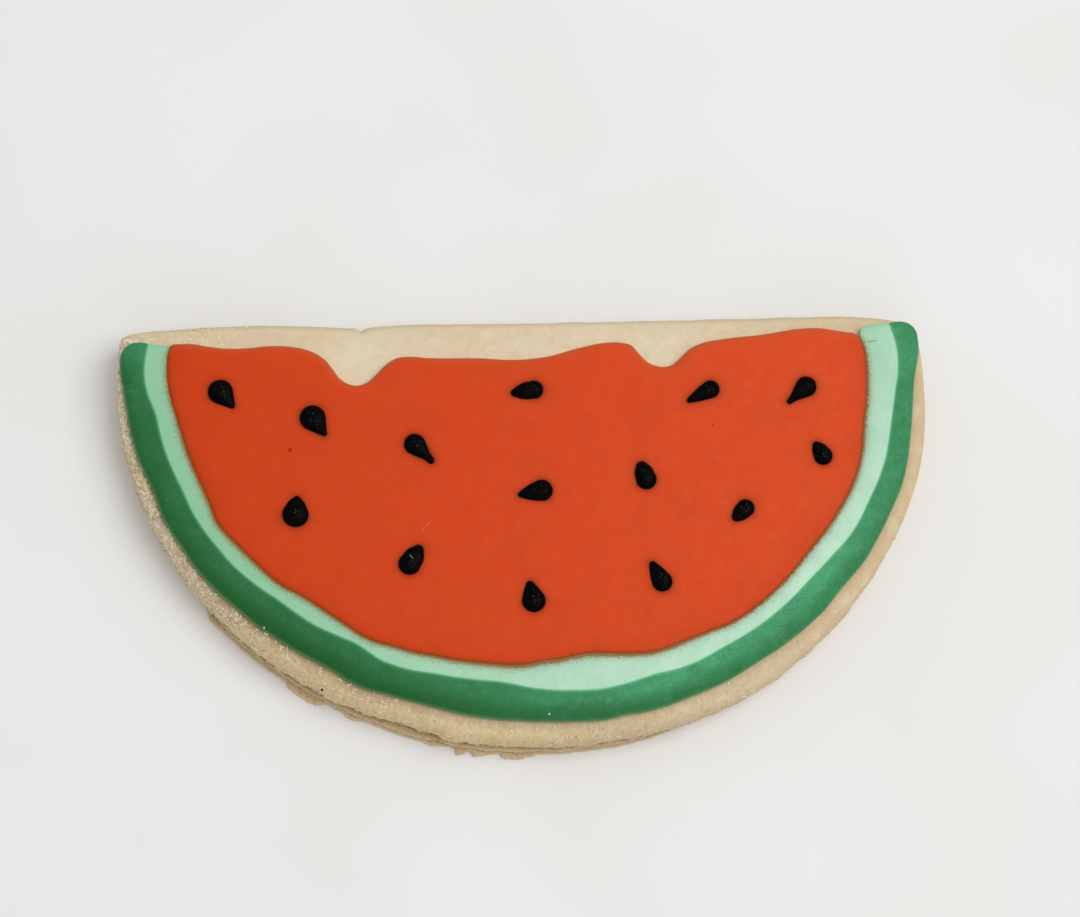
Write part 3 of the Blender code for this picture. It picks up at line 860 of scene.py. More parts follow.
@dataclass
class Biscuit:
    """The baked half-moon: a soft shoulder above, a coarse left margin and an overhang above the torn lip.

    Attributes:
        thickness: height of its top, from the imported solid.
        spacing: distance between neighbouring points of the skin.
        drop: the shoulder's height over its width.
        wall_rows: rings up the wall.
        shoulder_rows: rings over the shoulder.
        overhang: height up to which the wall above the torn lip is ragged.
        ragged: how far it wanders there.
        grain: height of the finest relief where the skin is coarse.
        lump: height of the broad lumps.
        streak: depth of the drag marks in front.
        scallop: depth of the cut's small scallops in front on the right.
        finish: the dough.
    """

    thickness: float
    spacing: float = 0.235
    drop: float = 1.1
    wall_rows: int = 26
    shoulder_rows: int = 14
    overhang: float = 2.4
    ragged: float = 0.09
    grain: float = 0.1
    lump: float = 0.05
    streak: float = 0.03
    scallop: float = 0.075
    finish: Finish = field(default_factory=BakedDough)

    def outline(self) -> tuple[Array, Array]:
        """The widest line, as a closed ring of evenly spaced points.

        Returns:
            The points and, for each, its place round the outline as an angle that runs past 360.
        """
        fine = np.linspace(LEFT_END, RIGHT_END, 4000)
        along = lengths(round_edge(fine, read(BELLY, fine)))
        angle = np.interp(np.linspace(0, along[-1], int(along[-1] / self.spacing)), along, fine)
        scallops = self.scallop * stretch(SCALLOPED, angle) * noise_along(angle, 1.7, 53, 3)
        front = round_edge(angle, read(BELLY, angle) + scallops)
        back = evenly(np.array([front[-1], *BACK_EDGE, front[0]]), self.spacing)[1:-1]
        beyond = np.linspace(RIGHT_END, LEFT_END + 360, len(back) + 2)[1:-1]
        return np.concatenate([front, back]), np.concatenate([angle, beyond])

    def side(self, turn: Array) -> tuple[Array, Array]:
        """Height and inset of each row of the wall and the shoulder at each place.

        The wall's inset goes from the plain one to the overhanging one by how torn the lip is there. The
        shoulder is a quarter of a slightly squared ellipse.

        Args:
            turn: the place round the outline of each column.

        Returns:
            The heights and the insets, by row and column.
        """
        wander = self.ragged * noise_along(turn, 0.6, 11, 3)
        rows = np.linspace(0, len(WALL) - 1, self.wall_rows)
        keys = np.arange(len(WALL))
        height, plain, over = (cubic(keys, column, rows)[:, None] for column in np.array(WALL).T)
        wall = plain + (over - plain + wander * (height < self.overhang)) * stretch(TORN, turn)
        width = read(SKIN, turn, 2)
        rise = np.radians(np.linspace(0, 90, self.shoulder_rows))[:, None]
        shoulder = width * (1 - np.cos(rise) ** 0.85)
        level = self.thickness - self.drop * width * (1 - np.sin(rise) ** 0.85)
        return np.concatenate([np.broadcast_to(height, wall.shape), level]), np.concatenate([wall, shoulder])

    def rings(self) -> tuple[Array, Array, Array, Array]:
        """Rings from the middle of the underside out, up the wall, over the shoulder and in to the middle.

        Returns:
            The smooth skin's points, the height and the inset of each, and the place round the outline of
            each column of them.
        """
        outline, turn = self.outline()
        heights, insets = self.side(turn)
        side = outline - outward_of(blur(outline, 0.6 / self.spacing)) * insets[..., None]
        middle = spine(outline, (0.0, 8.0), 36.0)
        near = inner_guide(side[-1], 2.0, 2.0)
        far = inner_guide(side[-1], 5.5, 5.0)
        under = between(middle, side[0], np.linspace(0, 1, 9)[:-1] ** 0.7)
        top = np.concatenate(
            [
                between(side[-1], near, np.linspace(0, 1, 10)[1:]),
                between(near, far, np.linspace(0, 1, 14)[1:]),
                between(far, middle, np.linspace(0, 1, 13)[1:] ** 1.4),
            ]
        )
        level = np.concatenate([np.zeros(under.shape[:2]), heights, np.full(top.shape[:2], self.thickness)])
        inset = np.concatenate([np.full(under.shape[:2], HIDDEN), insets, np.full(top.shape[:2], HIDDEN)])
        inset = inset + np.where(turn <= RIGHT_END, read(BELLY, turn), 0)
        return with_height(np.concatenate([under, side, top]), level), level, inset, turn

    def relief(self, grid: Array, turn: Array) -> Array:
        """Height of the crumb's relief: broad lumps, grain that digs in where the skin is coarse, drag marks.

        Args:
            grid: the smooth skin.
            turn: the place round the outline of each column.

        Returns:
            How far each point moves out, in millimetres.
        """
        coarse = read(SKIN, turn)
        lumps = self.lump * noise(grid, 3.0, 41)
        grain = self.grain * (0.12 + coarse) * (noise(grid, 0.5, 43, 2) - 0.9 * coarse)
        around = np.broadcast_to(along_edge(turn), grid.shape[:2])
        drawn = np.stack([around, grid[..., 2] / 6, 0 * around], axis=-1)
        nick = -0.12 * np.exp(-(((grid[..., 0] + 20.55) / 0.3) ** 2) - ((27.0 - grid[..., 1]) / 1.3) ** 2)
        return lumps + grain + self.streak * stretch(DRAGGED, turn) * noise(drawn, 0.6, 47, 2) + nick

    def marks(self, grid: Array, level: Array, inset: Array, turn: Array) -> dict[str, Array]:
        """The attributes that the dough's material reads.

        Args:
            grid: the skin.
            level, inset: each point's height and inset before the relief.
            turn: the place round the outline of each column.

        Returns:
            Each attribute under its name, from 0 to 1. The last two are places in millimetres.
        """
        front, torn = turn <= RIGHT_END, stretch(TORN, turn)
        beside = read(DARK_EDGE, turn) - inset
        near_icing = np.clip(beside, 0, HIDDEN)
        high = front * ramp(3.0, 4.5, level)
        joint = ramp(*GREEN_JOINT[:2], turn) * (1 - 0.85 * ramp(*GREEN_JOINT[2:], turn))
        # Some of these marks are painted light: the front wall's yellow coat lifts its shaded shoulder, the
        # tone is lifted on the left margin and held low where the lamp falls, and the lip and its cracks
        # carry painted shade.
        return {
            "tone": read(CREAM, turn) + np.where(front, 0, 0.38 * ramp(21.5, 27.0, 48.5 - grid[..., 1])),
            "warm": stretch(YELLOW_SIDE, turn) * ramp(0.7, 1.6, beside) * front,
            "coarse": read(SKIN, turn) * (level > 0.5),
            "dragged": stretch(DRAG_MARKS, turn),
            "lip": torn * (1 - ramp(1.2, 1.9, level)),
            "crease": torn * (1 - ramp(0.9, 1.6, level)),
            "icing_side": high * read(CONTACT, turn) * np.exp(-near_icing / 0.8),
            "icing_rim": high * np.exp(-near_icing / 0.12) * joint,
            "back_band": np.where(front, 0, 1 - ramp(0.2, 1.1, inset)),
            "around": along_edge(turn),
            "inward": inset,
        }

    def bare(self, grid: Array, level: Array, inset: Array, turn: Array) -> Array:
        """The place round the outline of each point where the dough shows beside the icing, and 0 elsewhere.

        Args:
            grid: the skin.
            level, inset: each point's height and inset before the relief.
            turn: the place round the outline of each column.

        Returns:
            One angle for each point, or 0.
        """
        wavy = evenly(np.array(WAVY_TOP), 0.2)
        above = grid[..., 1] - np.interp(grid[..., 0], wavy[:, 0], wavy[:, 1])
        behind = (grid[..., 1] > 19) & (np.abs(grid[..., 0]) < 42) & (above > 0.25)
        in_front = (inset < read(DARK_EDGE, turn) - 0.1) & (inset < 8)
        return np.where(turn <= RIGHT_END, in_front, behind) * (level > 0.3) * turn

    def build(self) -> tuple[Array, Array]:
        """Makes the piece, with the relief raised along the smooth skin's normals.

        Returns:
            The skin's points and, for each, its place round the outline where it is bare, and 0 elsewhere.
        """
        grid, level, inset, turn = self.rings()
        lifted = self.relief(grid, turn) * np.where(level < 0.02, 0.1, 1.0)
        grid = grid + grid_normals(grid) * lifted[..., None]
        grid[..., 2] = np.maximum(grid[..., 2], 0.0)
        faces, marks = loft_faces(*grid.shape[:2]), self.marks(grid, level, inset, turn)
        make_piece("cookie_biscuit", grid, faces, self.finish, Solid.BISCUIT, **marks)
        return grid, self.bare(grid, level, inset, turn)


# A torn sheet's section, out from under the biscuit and back: (part of the depth, part of the height).
SHEET_SECTION: Rows = (
    (1, 0), (0.5, 0), (0.15, 0), (0.04, 0.08), (0.0, 0.3), (0.0, 0.55), (0.015, 0.8), (0.05, 0.95),
    (0.1, 1.0), (0.18, 1.0), (0.28, 1.0), (0.4, 1.0), (0.6, 1.0), (1, 1.0),
)  # fmt: skip


@dataclass
class TornSheet:
    """A thin broken sheet of dough that sticks out below the front of the biscuit.

    Attributes:
        name: the piece's name.
        tear: its outer edge, straight from corner to corner.
        under: height of its underside.
        over: height of its top.
        seed: which random numbers to take.
        depth: how far it runs in under the biscuit.
        spacing: distance between its cross sections.
        finish: the dough.
    """

    name: str
    tear: Rows
    under: float
    over: float
    seed: int
    depth: float = 2.2
    spacing: float = 0.075
    finish: Finish = field(default_factory=BakedDough)

    def build(self) -> None:
        """Makes the piece: at each angle a flat section with a blunt broken edge, its corner worn."""
        table = np.array(self.tear)
        angle = np.arange(table[0, 0], table[-1, 0], np.degrees(self.spacing / HALF_DEPTH))
        around = along_edge(angle)
        edge = np.interp(angle, table[:, 0], table[:, 1])
        edge = edge + 0.05 * noise_along(angle, 0.3, self.seed, 2)
        edge = edge + 0.035 * noise_along(angle, 0.13, self.seed + 5)
        top = self.over + 0.07 * noise_along(angle, 1.3, self.seed + 7, 2)
        part, up = np.array(SHEET_SECTION).T
        inset = edge[:, None] + self.depth * part
        height = self.under + (top - self.under)[:, None] * up
        grid = with_height(round_edge(np.broadcast_to(angle[:, None], inset.shape), inset), height)
        rough = np.stack([noise(grid, 0.25, self.seed + k, 2) for k in (11, 13)], axis=-1)
        grid[..., 1:] += 0.025 * rough * (up[:, None] > 0.05)
        grid[..., 2] = np.maximum(grid[..., 2], 0.0)
        # Painted shade: the sheets are browner and carry the cracks' dark colour in under the biscuit, where
        # it covers them.
        covered = np.exp(-((inset - read(BELLY, angle)[:, None] - 0.1) / 0.3))
        at_edge = np.exp(-(inset - edge[:, None]) / 0.3)
        make_piece(
            self.name,
            grid,
            loft_faces(*grid.shape[:2]),
            self.finish,
            Solid.BISCUIT,
            tone=0.1 + 0.25 * at_edge,
            coarse=0.25,
            dragged=0.3,
            lip=0.8 - 0.45 * at_edge,
            crease=np.clip(1.2 - covered, 0, 1),
            around=around[:, None],
            inward=inset,
        )


@dataclass
class PipedLine:
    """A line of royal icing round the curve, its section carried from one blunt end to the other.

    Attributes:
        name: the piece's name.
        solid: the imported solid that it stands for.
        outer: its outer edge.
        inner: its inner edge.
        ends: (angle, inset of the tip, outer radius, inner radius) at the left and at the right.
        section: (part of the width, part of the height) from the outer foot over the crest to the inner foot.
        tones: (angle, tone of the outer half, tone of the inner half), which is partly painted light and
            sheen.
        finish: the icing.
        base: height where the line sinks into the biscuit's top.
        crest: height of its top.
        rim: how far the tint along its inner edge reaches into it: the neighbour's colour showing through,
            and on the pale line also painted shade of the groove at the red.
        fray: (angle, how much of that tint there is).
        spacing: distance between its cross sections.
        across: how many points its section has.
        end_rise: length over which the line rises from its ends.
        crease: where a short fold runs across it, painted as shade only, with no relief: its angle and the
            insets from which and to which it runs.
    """

    name: str
    solid: Solid
    outer: Rows
    inner: Rows
    ends: Rows
    section: Rows
    tones: Rows
    finish: Finish
    base: float
    crest: float
    rim: float
    fray: Rows
    spacing: float = 0.2
    across: int = 44
    end_rise: float = 1.1
    crease: tuple[float, float, float] = (366.0, 6.3, 7.6)

    def build(self) -> None:
        """Makes the piece. At an angle the section spans the line's two insets, narrowed towards each tip.

        The narrowing is a quarter circle of the end's radius, and the height rises by a quarter circle too.
        """
        (left, left_tip, *left_radii), (right, right_tip, *right_radii) = self.ends
        span = np.radians(right - left) * HALF_DEPTH
        run_in = 2.4 * (1 - np.cos(np.linspace(0.03, np.pi / 2, 18)))
        middle = np.arange(run_in[-1] + self.spacing, span - run_in[-1], self.spacing)
        from_left = np.concatenate([run_in, middle, (span - run_in)[::-1]])
        angle = left + np.degrees(from_left / HALF_DEPTH)
        near_left = from_left < span / 2
        from_end = np.where(near_left, from_left, span - from_left)
        tip = np.where(near_left, left_tip, right_tip)
        radii = [np.where(near_left, *pair) for pair in zip(left_radii, right_radii)]
        out_to = tip + (read(self.outer, angle) - tip) * quarter_circle(from_end / radii[0])
        in_to = tip + (read(self.inner, angle) - tip) * quarter_circle(from_end / radii[1])
        height = (self.crest - self.base) * quarter_circle(from_end / self.end_rise)

        table = np.asarray(self.section)
        part, up = evenly(table, lengths(table)[-1] / (self.across - 1)).T
        inset = out_to[:, None] + (in_to - out_to)[:, None] * part
        plan = round_edge(np.broadcast_to(angle[:, None], inset.shape), inset)
        grid = with_height(plan, self.base + height[:, None] * up)
        soft = (0.025 * noise(grid, 2.5, 61) + 0.01 * noise(grid, 0.7, 67)) * ramp(0.05, 0.4, up)
        grid = grid + grid_normals(grid) * soft[..., None]
        outer_tone, inner_tone = (read(self.tones, angle, i)[:, None] for i in (1, 2))
        around = along_edge(angle)[:, None]
        # The fold is not modelled: a thin line of painted shade stands for it.
        on_crease = ramp(-0.1, 0.1, inset - self.crease[1]) * ramp(-0.1, 0.1, self.crease[2] - inset)
        make_piece(
            self.name,
            grid,
            loft_faces(*grid.shape[:2]),
            self.finish,
            self.solid,
            tone=outer_tone + (inner_tone - outer_tone) * ramp(0.2, 0.75, part),
            outer_rim=np.exp(-(inset - out_to[:, None]) / 0.08),
            crease=np.exp(-(((around - along_edge(self.crease[0])) / 0.13) ** 2)) * on_crease,
            inner_rim=read(self.fray, angle)[:, None] * np.exp(-(in_to[:, None] - inset) / self.rim),
            around=around,
            inward=inset,
        )


@dataclass
class Flood:
    """The red flood: icing poured inside the lines, level in the middle, against the pale line at its round
    edge and rounded down to the biscuit at its wavy top edge.

    Attributes:
        base: height where it sinks into the biscuit's top.
        top: height of its level middle.
        finish: the icing.
        spacing: distance between points along its edge.
        rows: how many rings run in from its edge.
        meet: the part of its height that it has where it meets the pale line.
    """

    base: float
    top: float
    finish: Finish
    spacing: float = 0.27
    rows: int = 78
    meet: float = 0.87

    def outline(self) -> tuple[Array, Array]:
        """The edge in plan.

        Returns:
            The closed outline, anticlockwise, and a mask of the points on the seam with the pale line.
        """
        angle = np.linspace(*FLOOD_ANGLES, 400)
        seam = evenly(round_edge(angle, read(RED_SEAM, angle) + 0.01), self.spacing)
        top = evenly(np.array([seam[-1], *WAVY_TOP[::-1], seam[0]]), self.spacing)[1:-1]
        return np.concatenate([seam, top]), np.arange(len(seam) + len(top)) < len(seam)

    def build(self) -> None:
        """Makes the piece: rings that start at the edge and close in on a line in the middle.

        The height rises as a parabola from the seam or as a full round from the wavy edge: the lower one.
        """
        outline, on_seam = self.outline()
        near = inner_guide(outline, 1.4, 1.2)
        middle = spine(outline, (-0.8, 8.0), 28.0)
        close = 1 - np.cos(np.linspace(0, np.pi / 2, 14))[1:]
        inward = between(near, middle, np.linspace(0, 1, self.rows)[1:])
        plan = np.concatenate([between(outline, near, np.concatenate([[0.15, 0.0, 0.005], close])), inward])
        to_seam = distance_to(outline[on_seam], plan)
        to_top = distance_to(outline[~on_seam], plan)
        from_seam = self.meet + (1 - self.meet) * (1 - (1 - np.clip(to_seam / 0.8, 0, 1)) ** 2)
        from_top = (1 - (1 - np.clip(to_top / 1.3, 0, 1)) ** 3) ** 0.45
        level = self.base + (self.top - self.base) * np.minimum(from_seam, from_top)
        level[0], level[1] = self.base - 0.1, self.base - 0.05
        grid = with_height(plan, level)
        settled = ramp(0.3, 1.6, np.minimum(to_seam, to_top))
        settled = settled * np.linspace(12, 0, len(plan)).clip(0, 1)[:, None]
        grid[..., 2] += settled * (0.035 * noise(grid, 7.0, 71) + 0.02 * noise(grid, 1.8, 73, 2))
        make_piece(
            "red_melon_icing",
            grid,
            loft_faces(*grid.shape[:2]),
            self.finish,
            Solid.FLOOD,
            # The red is painted a little lighter to the right, which partly stands in for the light.
            tone=np.clip(0.5 + grid[..., 0] / 100, 0, 1),
            # Masks for painted light: shade towards the seam and in its groove, contact shade round the
            # seeds, a duller reflection where the top edge rounds down and a highlight along its foot.
            seam_rim=np.exp(-((to_seam / 0.35) ** 2)),
            seam_shade=np.exp(-to_seam / 1.2) * (1 + 0.6 * ramp(34, 43, -grid[..., 0])),
            top_rim=np.exp(-((to_top - 0.3) / 0.55) ** 2),
            foot_rim=np.exp(-to_top / 0.07) * ramp(0.3, 1.0, to_seam),
            seed_side=np.exp(-np.clip(seed_distance(grid), 0, None) / 0.35),
        )


def seed_distance(grid: Array) -> Array:
    """Distance in plan from each point to the nearest seed, taken as a round bar that narrows to its tip.

    Args:
        grid: the points.

    Returns:
        The distances, below 0 inside a seed.
    """
    nearest = np.full(grid.shape[:2], 99.0)
    for x, y, bulb, heading, length, tip, *_ in SEEDS:
        way = np.array([np.cos(np.radians(heading)), np.sin(np.radians(heading))])
        from_bulb = grid[..., :2] - (x, y)
        part = np.clip(from_bulb @ way / (length - bulb - tip), 0, 1)
        away = np.linalg.norm(from_bulb - (part * (length - bulb - tip))[..., None] * way, axis=-1)
        nearest = np.minimum(nearest, away - (bulb + (tip - bulb) * part))
    return nearest


@dataclass
class PipedSeeds:
    """Black teardrops piped onto the flood.

    Attributes:
        floor: height of the flood that they stand on.
        top: height of the tallest one's top.
        finish: the black icing.
        around: points round a seed.
        rings: rings from its foot to its top.
    """

    floor: float
    top: float
    finish: Finish
    around: int = 72
    rings: int = 20

    def outline(self, values: tuple[float, ...]) -> tuple[Array, Array]:
        """One seed's outline, with its tip along +X, and the point of its bent axis beside each point.

        The half width is that of two circles and the straight flanks between them, less the waist: a bell
        nearer the tip where it draws in, a parabola where it swells.

        Args:
            values: the seed's row of the table.

        Returns:
            The outline's points and the axis's, in plan.
        """
        bulb, length, tip, waist, bend = (values[i] for i in (2, 4, 5, 6, 7))
        apart = length - bulb - tip
        lean = np.arcsin((bulb - tip) / apart)
        x = -bulb + length * (1 - np.cos(np.linspace(0, np.pi, 600))) / 2
        leave, meet = bulb * np.sin(lean), apart + tip * np.sin(lean)
        half = np.interp(x, [leave, meet], [bulb * np.cos(lean), tip * np.cos(lean)])
        half = np.where(x < leave, np.sqrt(np.clip(bulb**2 - x**2, 0, None)), half)
        half = np.where(x > meet, np.sqrt(np.clip(tip**2 - (x - apart) ** 2, 0, None)), half)
        part = np.clip((x - leave) / (meet - leave), 0, 1)
        half = half - waist * (np.sin(np.pi * part**1.5) ** 2 if waist > 0 else 4 * part * (1 - part))
        loop = np.concatenate([np.stack([x, -half], -1), np.stack([x, half], -1)[-2:0:-1]])
        along = lengths(np.vstack([loop, loop[:1]]))
        at = np.linspace(0, along[-1], self.around, endpoint=False)
        loop = np.stack([np.interp(at, along[:-1], loop[:, i]) for i in (0, 1)], axis=-1)
        axis = np.stack([np.clip(loop[:, 0], 0, apart), 0 * at], axis=-1)
        for line in (loop, axis):
            line[:, 1] += bend * (np.clip(line[:, 0], 0, None) / apart) ** 2
        return loop, axis

    def seed(self, values: tuple[float, ...]) -> Array:
        """One seed's grid: its outline closing in on its axis over a round dome that is lower at the tip.

        Args:
            values: the seed's row of the table.

        Returns:
            Its points and, as a fourth number for each, how near the crown it is, where the skin is wrinkled.
        """
        loop, axis = self.outline(values)
        x, y, bulb, heading = values[:4]
        rise = np.linspace(0, np.pi / 2, self.rings)
        part = np.concatenate([[0.97], np.clip(np.cos(rise), 0.02, 1)])
        up = np.concatenate([[-0.12], np.sin(rise) ** 0.9])
        local = np.linalg.norm(loop - axis, axis=-1) / bulb
        tall = (self.top - self.floor) * (bulb / 1.58) ** 0.6 * local**0.7
        flat = between(axis, loop, part)
        along = np.array([np.cos(np.radians(heading)), np.sin(np.radians(heading))])
        plan = flat[..., :1] * along + flat[..., 1:] * (-along[1], along[0]) + (x, y)
        grid = with_height(plan, self.floor + up[:, None] * tall)
        wrinkle = 0.03 * noise(grid, 0.4, 83, 2) * ramp(0, 0.5, up)[:, None]
        crown = np.exp(-(((flat[..., 0] - 0.3) / 0.9) ** 2) - (flat[..., 1] / 0.5) ** 2)
        crown = crown * ramp(0.5, 0.9, up)[:, None]
        return np.concatenate([grid + grid_normals(grid) * wrinkle[..., None], crown[..., None]], axis=-1)

    def build(self) -> None:
        """Makes all the seeds as one piece."""
        built = np.stack([self.seed(values) for values in SEEDS])
        grids, crown = built[..., :3], built[..., 3]
        one = loft_faces(*grids.shape[1:3])
        size = grids[0][..., 0].size
        faces = [[corner + number * size for corner in face] for number in range(len(grids)) for face in one]
        make_piece("piped_seeds", grids, faces, self.finish, Solid.FLOOD, tone=0.0, crown=crown)


def uneven_boxes(
    centre: Array, axes: Array, size: Array, random: np.random.Generator
) -> tuple[Array, list[list[int]]]:
    """Little boxes whose corners are pulled about, by up to a sixth of their size.

    Args:
        centre: the middle of each.
        axes: the directions of its length, its width and its thickness.
        size: its length, width and thickness.
        random: where the random numbers come from.

    Returns:
        The boxes' points and their faces.
    """
    corners = np.array([[x, y, z] for x in (-1, 1) for y in (-1, 1) for z in (-1, 1)]) / 2
    shape = (corners + random.uniform(-0.17, 0.17, (len(centre), 8, 3))) * size[:, None]
    box = np.array([[0, 1, 3, 2], [4, 6, 7, 5], [0, 4, 5, 1], [2, 3, 7, 6], [0, 2, 6, 4], [1, 5, 7, 3]])
    faces = (box[None] + 8 * np.arange(len(centre))[:, None, None]).reshape(-1, 4).tolist()
    return centre[:, None] + np.einsum("nij,njk->nik", shape, axes), faces


class Stuff(Enum):
    """What lies loose on the dough, by the name of its piece."""

    SUGAR = "sugar_grains"
    CRUMB = "dough_crumbs"
    DUST = "fine_sugar"


@dataclass
class Scatter:
    """Grains pressed into the bare dough: slightly uneven little bars that lie along the skin.

    Attributes:
        stuff: what they are.
        count: how many there are.
        length: shortest and longest.
        girth: thinnest and thickest.
        sink: the part of a grain's thickness by which its middle is below the skin.
        density: (angle, how thick they lie) round the outline.
        finish: their material.
        seed: which random numbers to take.
    """

    stuff: Stuff
    count: int
    length: tuple[float, float]
    girth: tuple[float, float]
    sink: float
    density: Rows
    finish: Finish
    seed: int

    def build(self, skin: Array, bare: Array) -> None:
        """Makes the grains: cubes, their corners pulled about, stretched and laid along the skin at random.

        Args:
            skin: the biscuit's points.
            bare: the angle of each point where the dough is bare, and 0 elsewhere.
        """
        random = np.random.default_rng(self.seed)
        weight = np.where(bare > 0, np.clip(read(self.density, bare), 0, None), 0)
        chosen = random.choice(weight.size, self.count, p=weight.ravel() / weight.sum())
        at = skin.reshape(-1, 3)[chosen]
        normal = grid_normals(skin).reshape(-1, 3)[chosen]
        turn = random.uniform(0, 2 * np.pi, (self.count, 1))
        side = np.cross(normal, random.normal(size=(self.count, 3)))
        side /= np.linalg.norm(side, axis=1, keepdims=True)
        along = side * np.cos(turn) + np.cross(normal, side) * np.sin(turn)
        axes = np.stack([along, np.cross(normal, along), normal], axis=1)
        spans = (self.length, self.girth, self.girth)
        size = np.stack([random.uniform(*span, self.count) for span in spans], axis=-1)
        slide = random.uniform(-0.12, 0.12, (self.count, 2, 1)) * axes[:, :2]
        centre = at + slide.sum(axis=1) - normal * self.sink * size[:, 2:]
        points, faces = uneven_boxes(centre, axes, size, random)
        make_piece(self.stuff.value, points, faces, self.finish, Solid.LOOSE).data.shade_flat()


@dataclass(frozen=True)
class Stray:
    """Single specks and fibres that lie on the icing and the dough.

    Attributes:
        name: the piece's name.
        marks: (x, y, height of its middle, length, thickness, heading in degrees) for each.
        finish: their material.
    """

    name: str
    marks: Rows
    finish: Finish

    def build(self) -> None:
        """Makes them as little boxes that lie level."""
        table = np.array(self.marks)
        turn = np.radians(table[:, 5])
        along = np.stack([np.cos(turn), np.sin(turn), 0 * turn], axis=-1)
        up = np.broadcast_to([0.0, 0.0, 1.0], along.shape)
        axes = np.stack([along, np.cross(up, along), up], axis=1)
        points, faces = uneven_boxes(table[:, :3], axes, table[:, [3, 4, 4]], np.random.default_rng(5))
        make_piece(self.name, points, faces, self.finish, Solid.LOOSE)


@dataclass(frozen=True)
class Lamp:
    """A square soft light that faces the cookie, by the direction to it, its distance, side and power."""

    name: str
    towards: tuple[float, float, float]
    distance: float
    side: float
    power: float

    def build(self) -> None:
        """Makes the light."""
        lamp = bpy.data.lights.new(self.name, "AREA")
        lamp.size = self.side * MM
        lamp.energy = self.power
        placed = bpy.data.objects.new(self.name, lamp)
        direction = Vector(self.towards).normalized()
        placed.location = direction * self.distance * MM
        placed.rotation_euler = direction.to_track_quat("Z", "Y").to_euler()
        bpy.context.scene.collection.objects.link(placed)


@dataclass
class Studio:
    """The pale floor, the soft light and the camera, which looks down on the cookie from just in front of it.

    Attributes:
        target: the point at the middle of the picture.
        distance: from that point to the camera.
        lean_front: how far the view leans to the front, in degrees.
        lean_left: how far it leans to the left, in degrees.
        roll: how far the picture is turned, in degrees.
        lens: focal length.
        floor_half: half the floor's side.
        floor_shade: the floor's colour.
        sky: strength of the even light from all sides.
        lamps: the lights.
    """

    target: tuple[float, float, float] = (1.2, 9.4, 6.0)
    distance: float = 450.0
    lean_front: float = 14.0
    lean_left: float = 7.0
    roll: float = 1.1
    lens: float = 120.75
    floor_half: float = 3000.0
    floor_shade: str = "#EBEBEA"
    sky: float = 0.62
    lamps: tuple[Lamp, ...] = (Lamp("window", (0.44, 0.05, 0.9), 1000.0, 720.0, 4.95),)

    def camera(self) -> None:
        """Places the camera from its leans and roll, and makes it the scene's."""
        left, front = np.radians(self.lean_left), np.radians(self.lean_front)
        back = Vector((-np.tan(left), -np.tan(front), 1)).normalized()
        right = (Vector((1, 0, 0)) - back * back.x).normalized()
        up = back.cross(right)
        cos, sin = np.cos(np.radians(self.roll)), np.sin(np.radians(self.roll))
        seen = bpy.data.cameras.new("camera")
        seen.lens = self.lens
        camera = bpy.data.objects.new("camera", seen)
        axes = Matrix((right * cos - up * sin, right * sin + up * cos, back)).transposed().to_4x4()
        camera.matrix_world = Matrix.Translation((Vector(self.target) + back * self.distance) * MM) @ axes
        bpy.context.scene.collection.objects.link(camera)
        bpy.context.scene.camera = camera

    def floor(self) -> None:
        """Makes the floor, a hair below the biscuit's underside, as a plain painted board."""
        corners = np.array([(-1, -1), (1, -1), (1, 1), (-1, 1)]) * self.floor_half
        mesh = bpy.data.meshes.new("floor")
        mesh.from_pydata((with_height(corners, np.full(4, -0.02)) * MM).tolist(), [], [[0, 1, 2, 3]])
        paint = Painter("pale_board", self.floor_shade)
        paint.layer("#E6E5E2", paint.span(paint.noise(40.0), 0.4, 0.6), 0.6)
        paint.bump(paint.noise(1.5), 0.004)
        mesh.materials.append(paint.finish((0.6, 0.7), 30.0, 0.1))
        floor = bpy.data.objects.new("floor", mesh)
        bpy.context.scene.collection.objects.link(floor)

    def build(self) -> None:
        """Makes the floor, the lights and the camera, and shows colours as they are."""
        self.floor()
        self.camera()
        for lamp in self.lamps:
            lamp.build()
        world = bpy.data.worlds.new("even_light")
        world.use_nodes = True
        world.node_tree.nodes["Background"].inputs["Color"].default_value = linear("#FFFFFF")
        world.node_tree.nodes["Background"].inputs["Strength"].default_value = self.sky
        bpy.context.scene.world = world
        bpy.context.scene.view_settings.view_transform = "Standard"


# Sections from the outer foot over the crest to the inner foot: (part of the width, part of the height).
DARK_SECTION: Rows = (
    (0.03, -0.08), (0.0, 0.1), (0.0, 0.3), (0.03, 0.56), (0.09, 0.76), (0.18, 0.89), (0.32, 0.97),
    (0.5, 1.0), (0.75, 0.99), (1.0, 0.95), (1.0, 0.4), (0.98, -0.08),
)  # fmt: skip
PALE_SECTION: Rows = (
    (0.02, -0.08), (0.0, 0.4), (0.0, 0.95), (0.2, 0.96), (0.5, 0.96), (0.72, 0.93), (0.88, 0.9),
    (1.0, 0.86), (1.0, 0.3), (0.98, -0.08),
)  # fmt: skip
DARK_ENDS: Rows = ((172.5, 3.1, 2.6, 0.6), (369.2, 3.4, 2.3, 0.7))
PALE_ENDS: Rows = ((172.6, 5.0, 0.4, 0.45), (369.4, 6.4, 0.7, 0.4))

# How bright the greens are round the curve, in their outer and their inner half. On the dark line the rise to
# the right is partly its own colour and partly painted light, and the brighter inner half from the front
# round to the right is a painted sheen.
DARK_TONES: Rows = (
    (172, 0.75, 0.75), (176, 0.35, 0.4), (184, 0.18, 0.2), (200, 0.1, 0.2), (230, 0.0, 0.2),
    (250, 0.05, 0.3), (262, 0.15, 0.45), (275, 0.25, 0.65), (290, 0.33, 0.95), (310, 0.42, 1.0),
    (325, 0.45, 1.0), (335, 0.5, 0.75), (350, 0.55, 0.6), (362, 0.6, 0.75), (369, 0.7, 0.75),
)  # fmt: skip

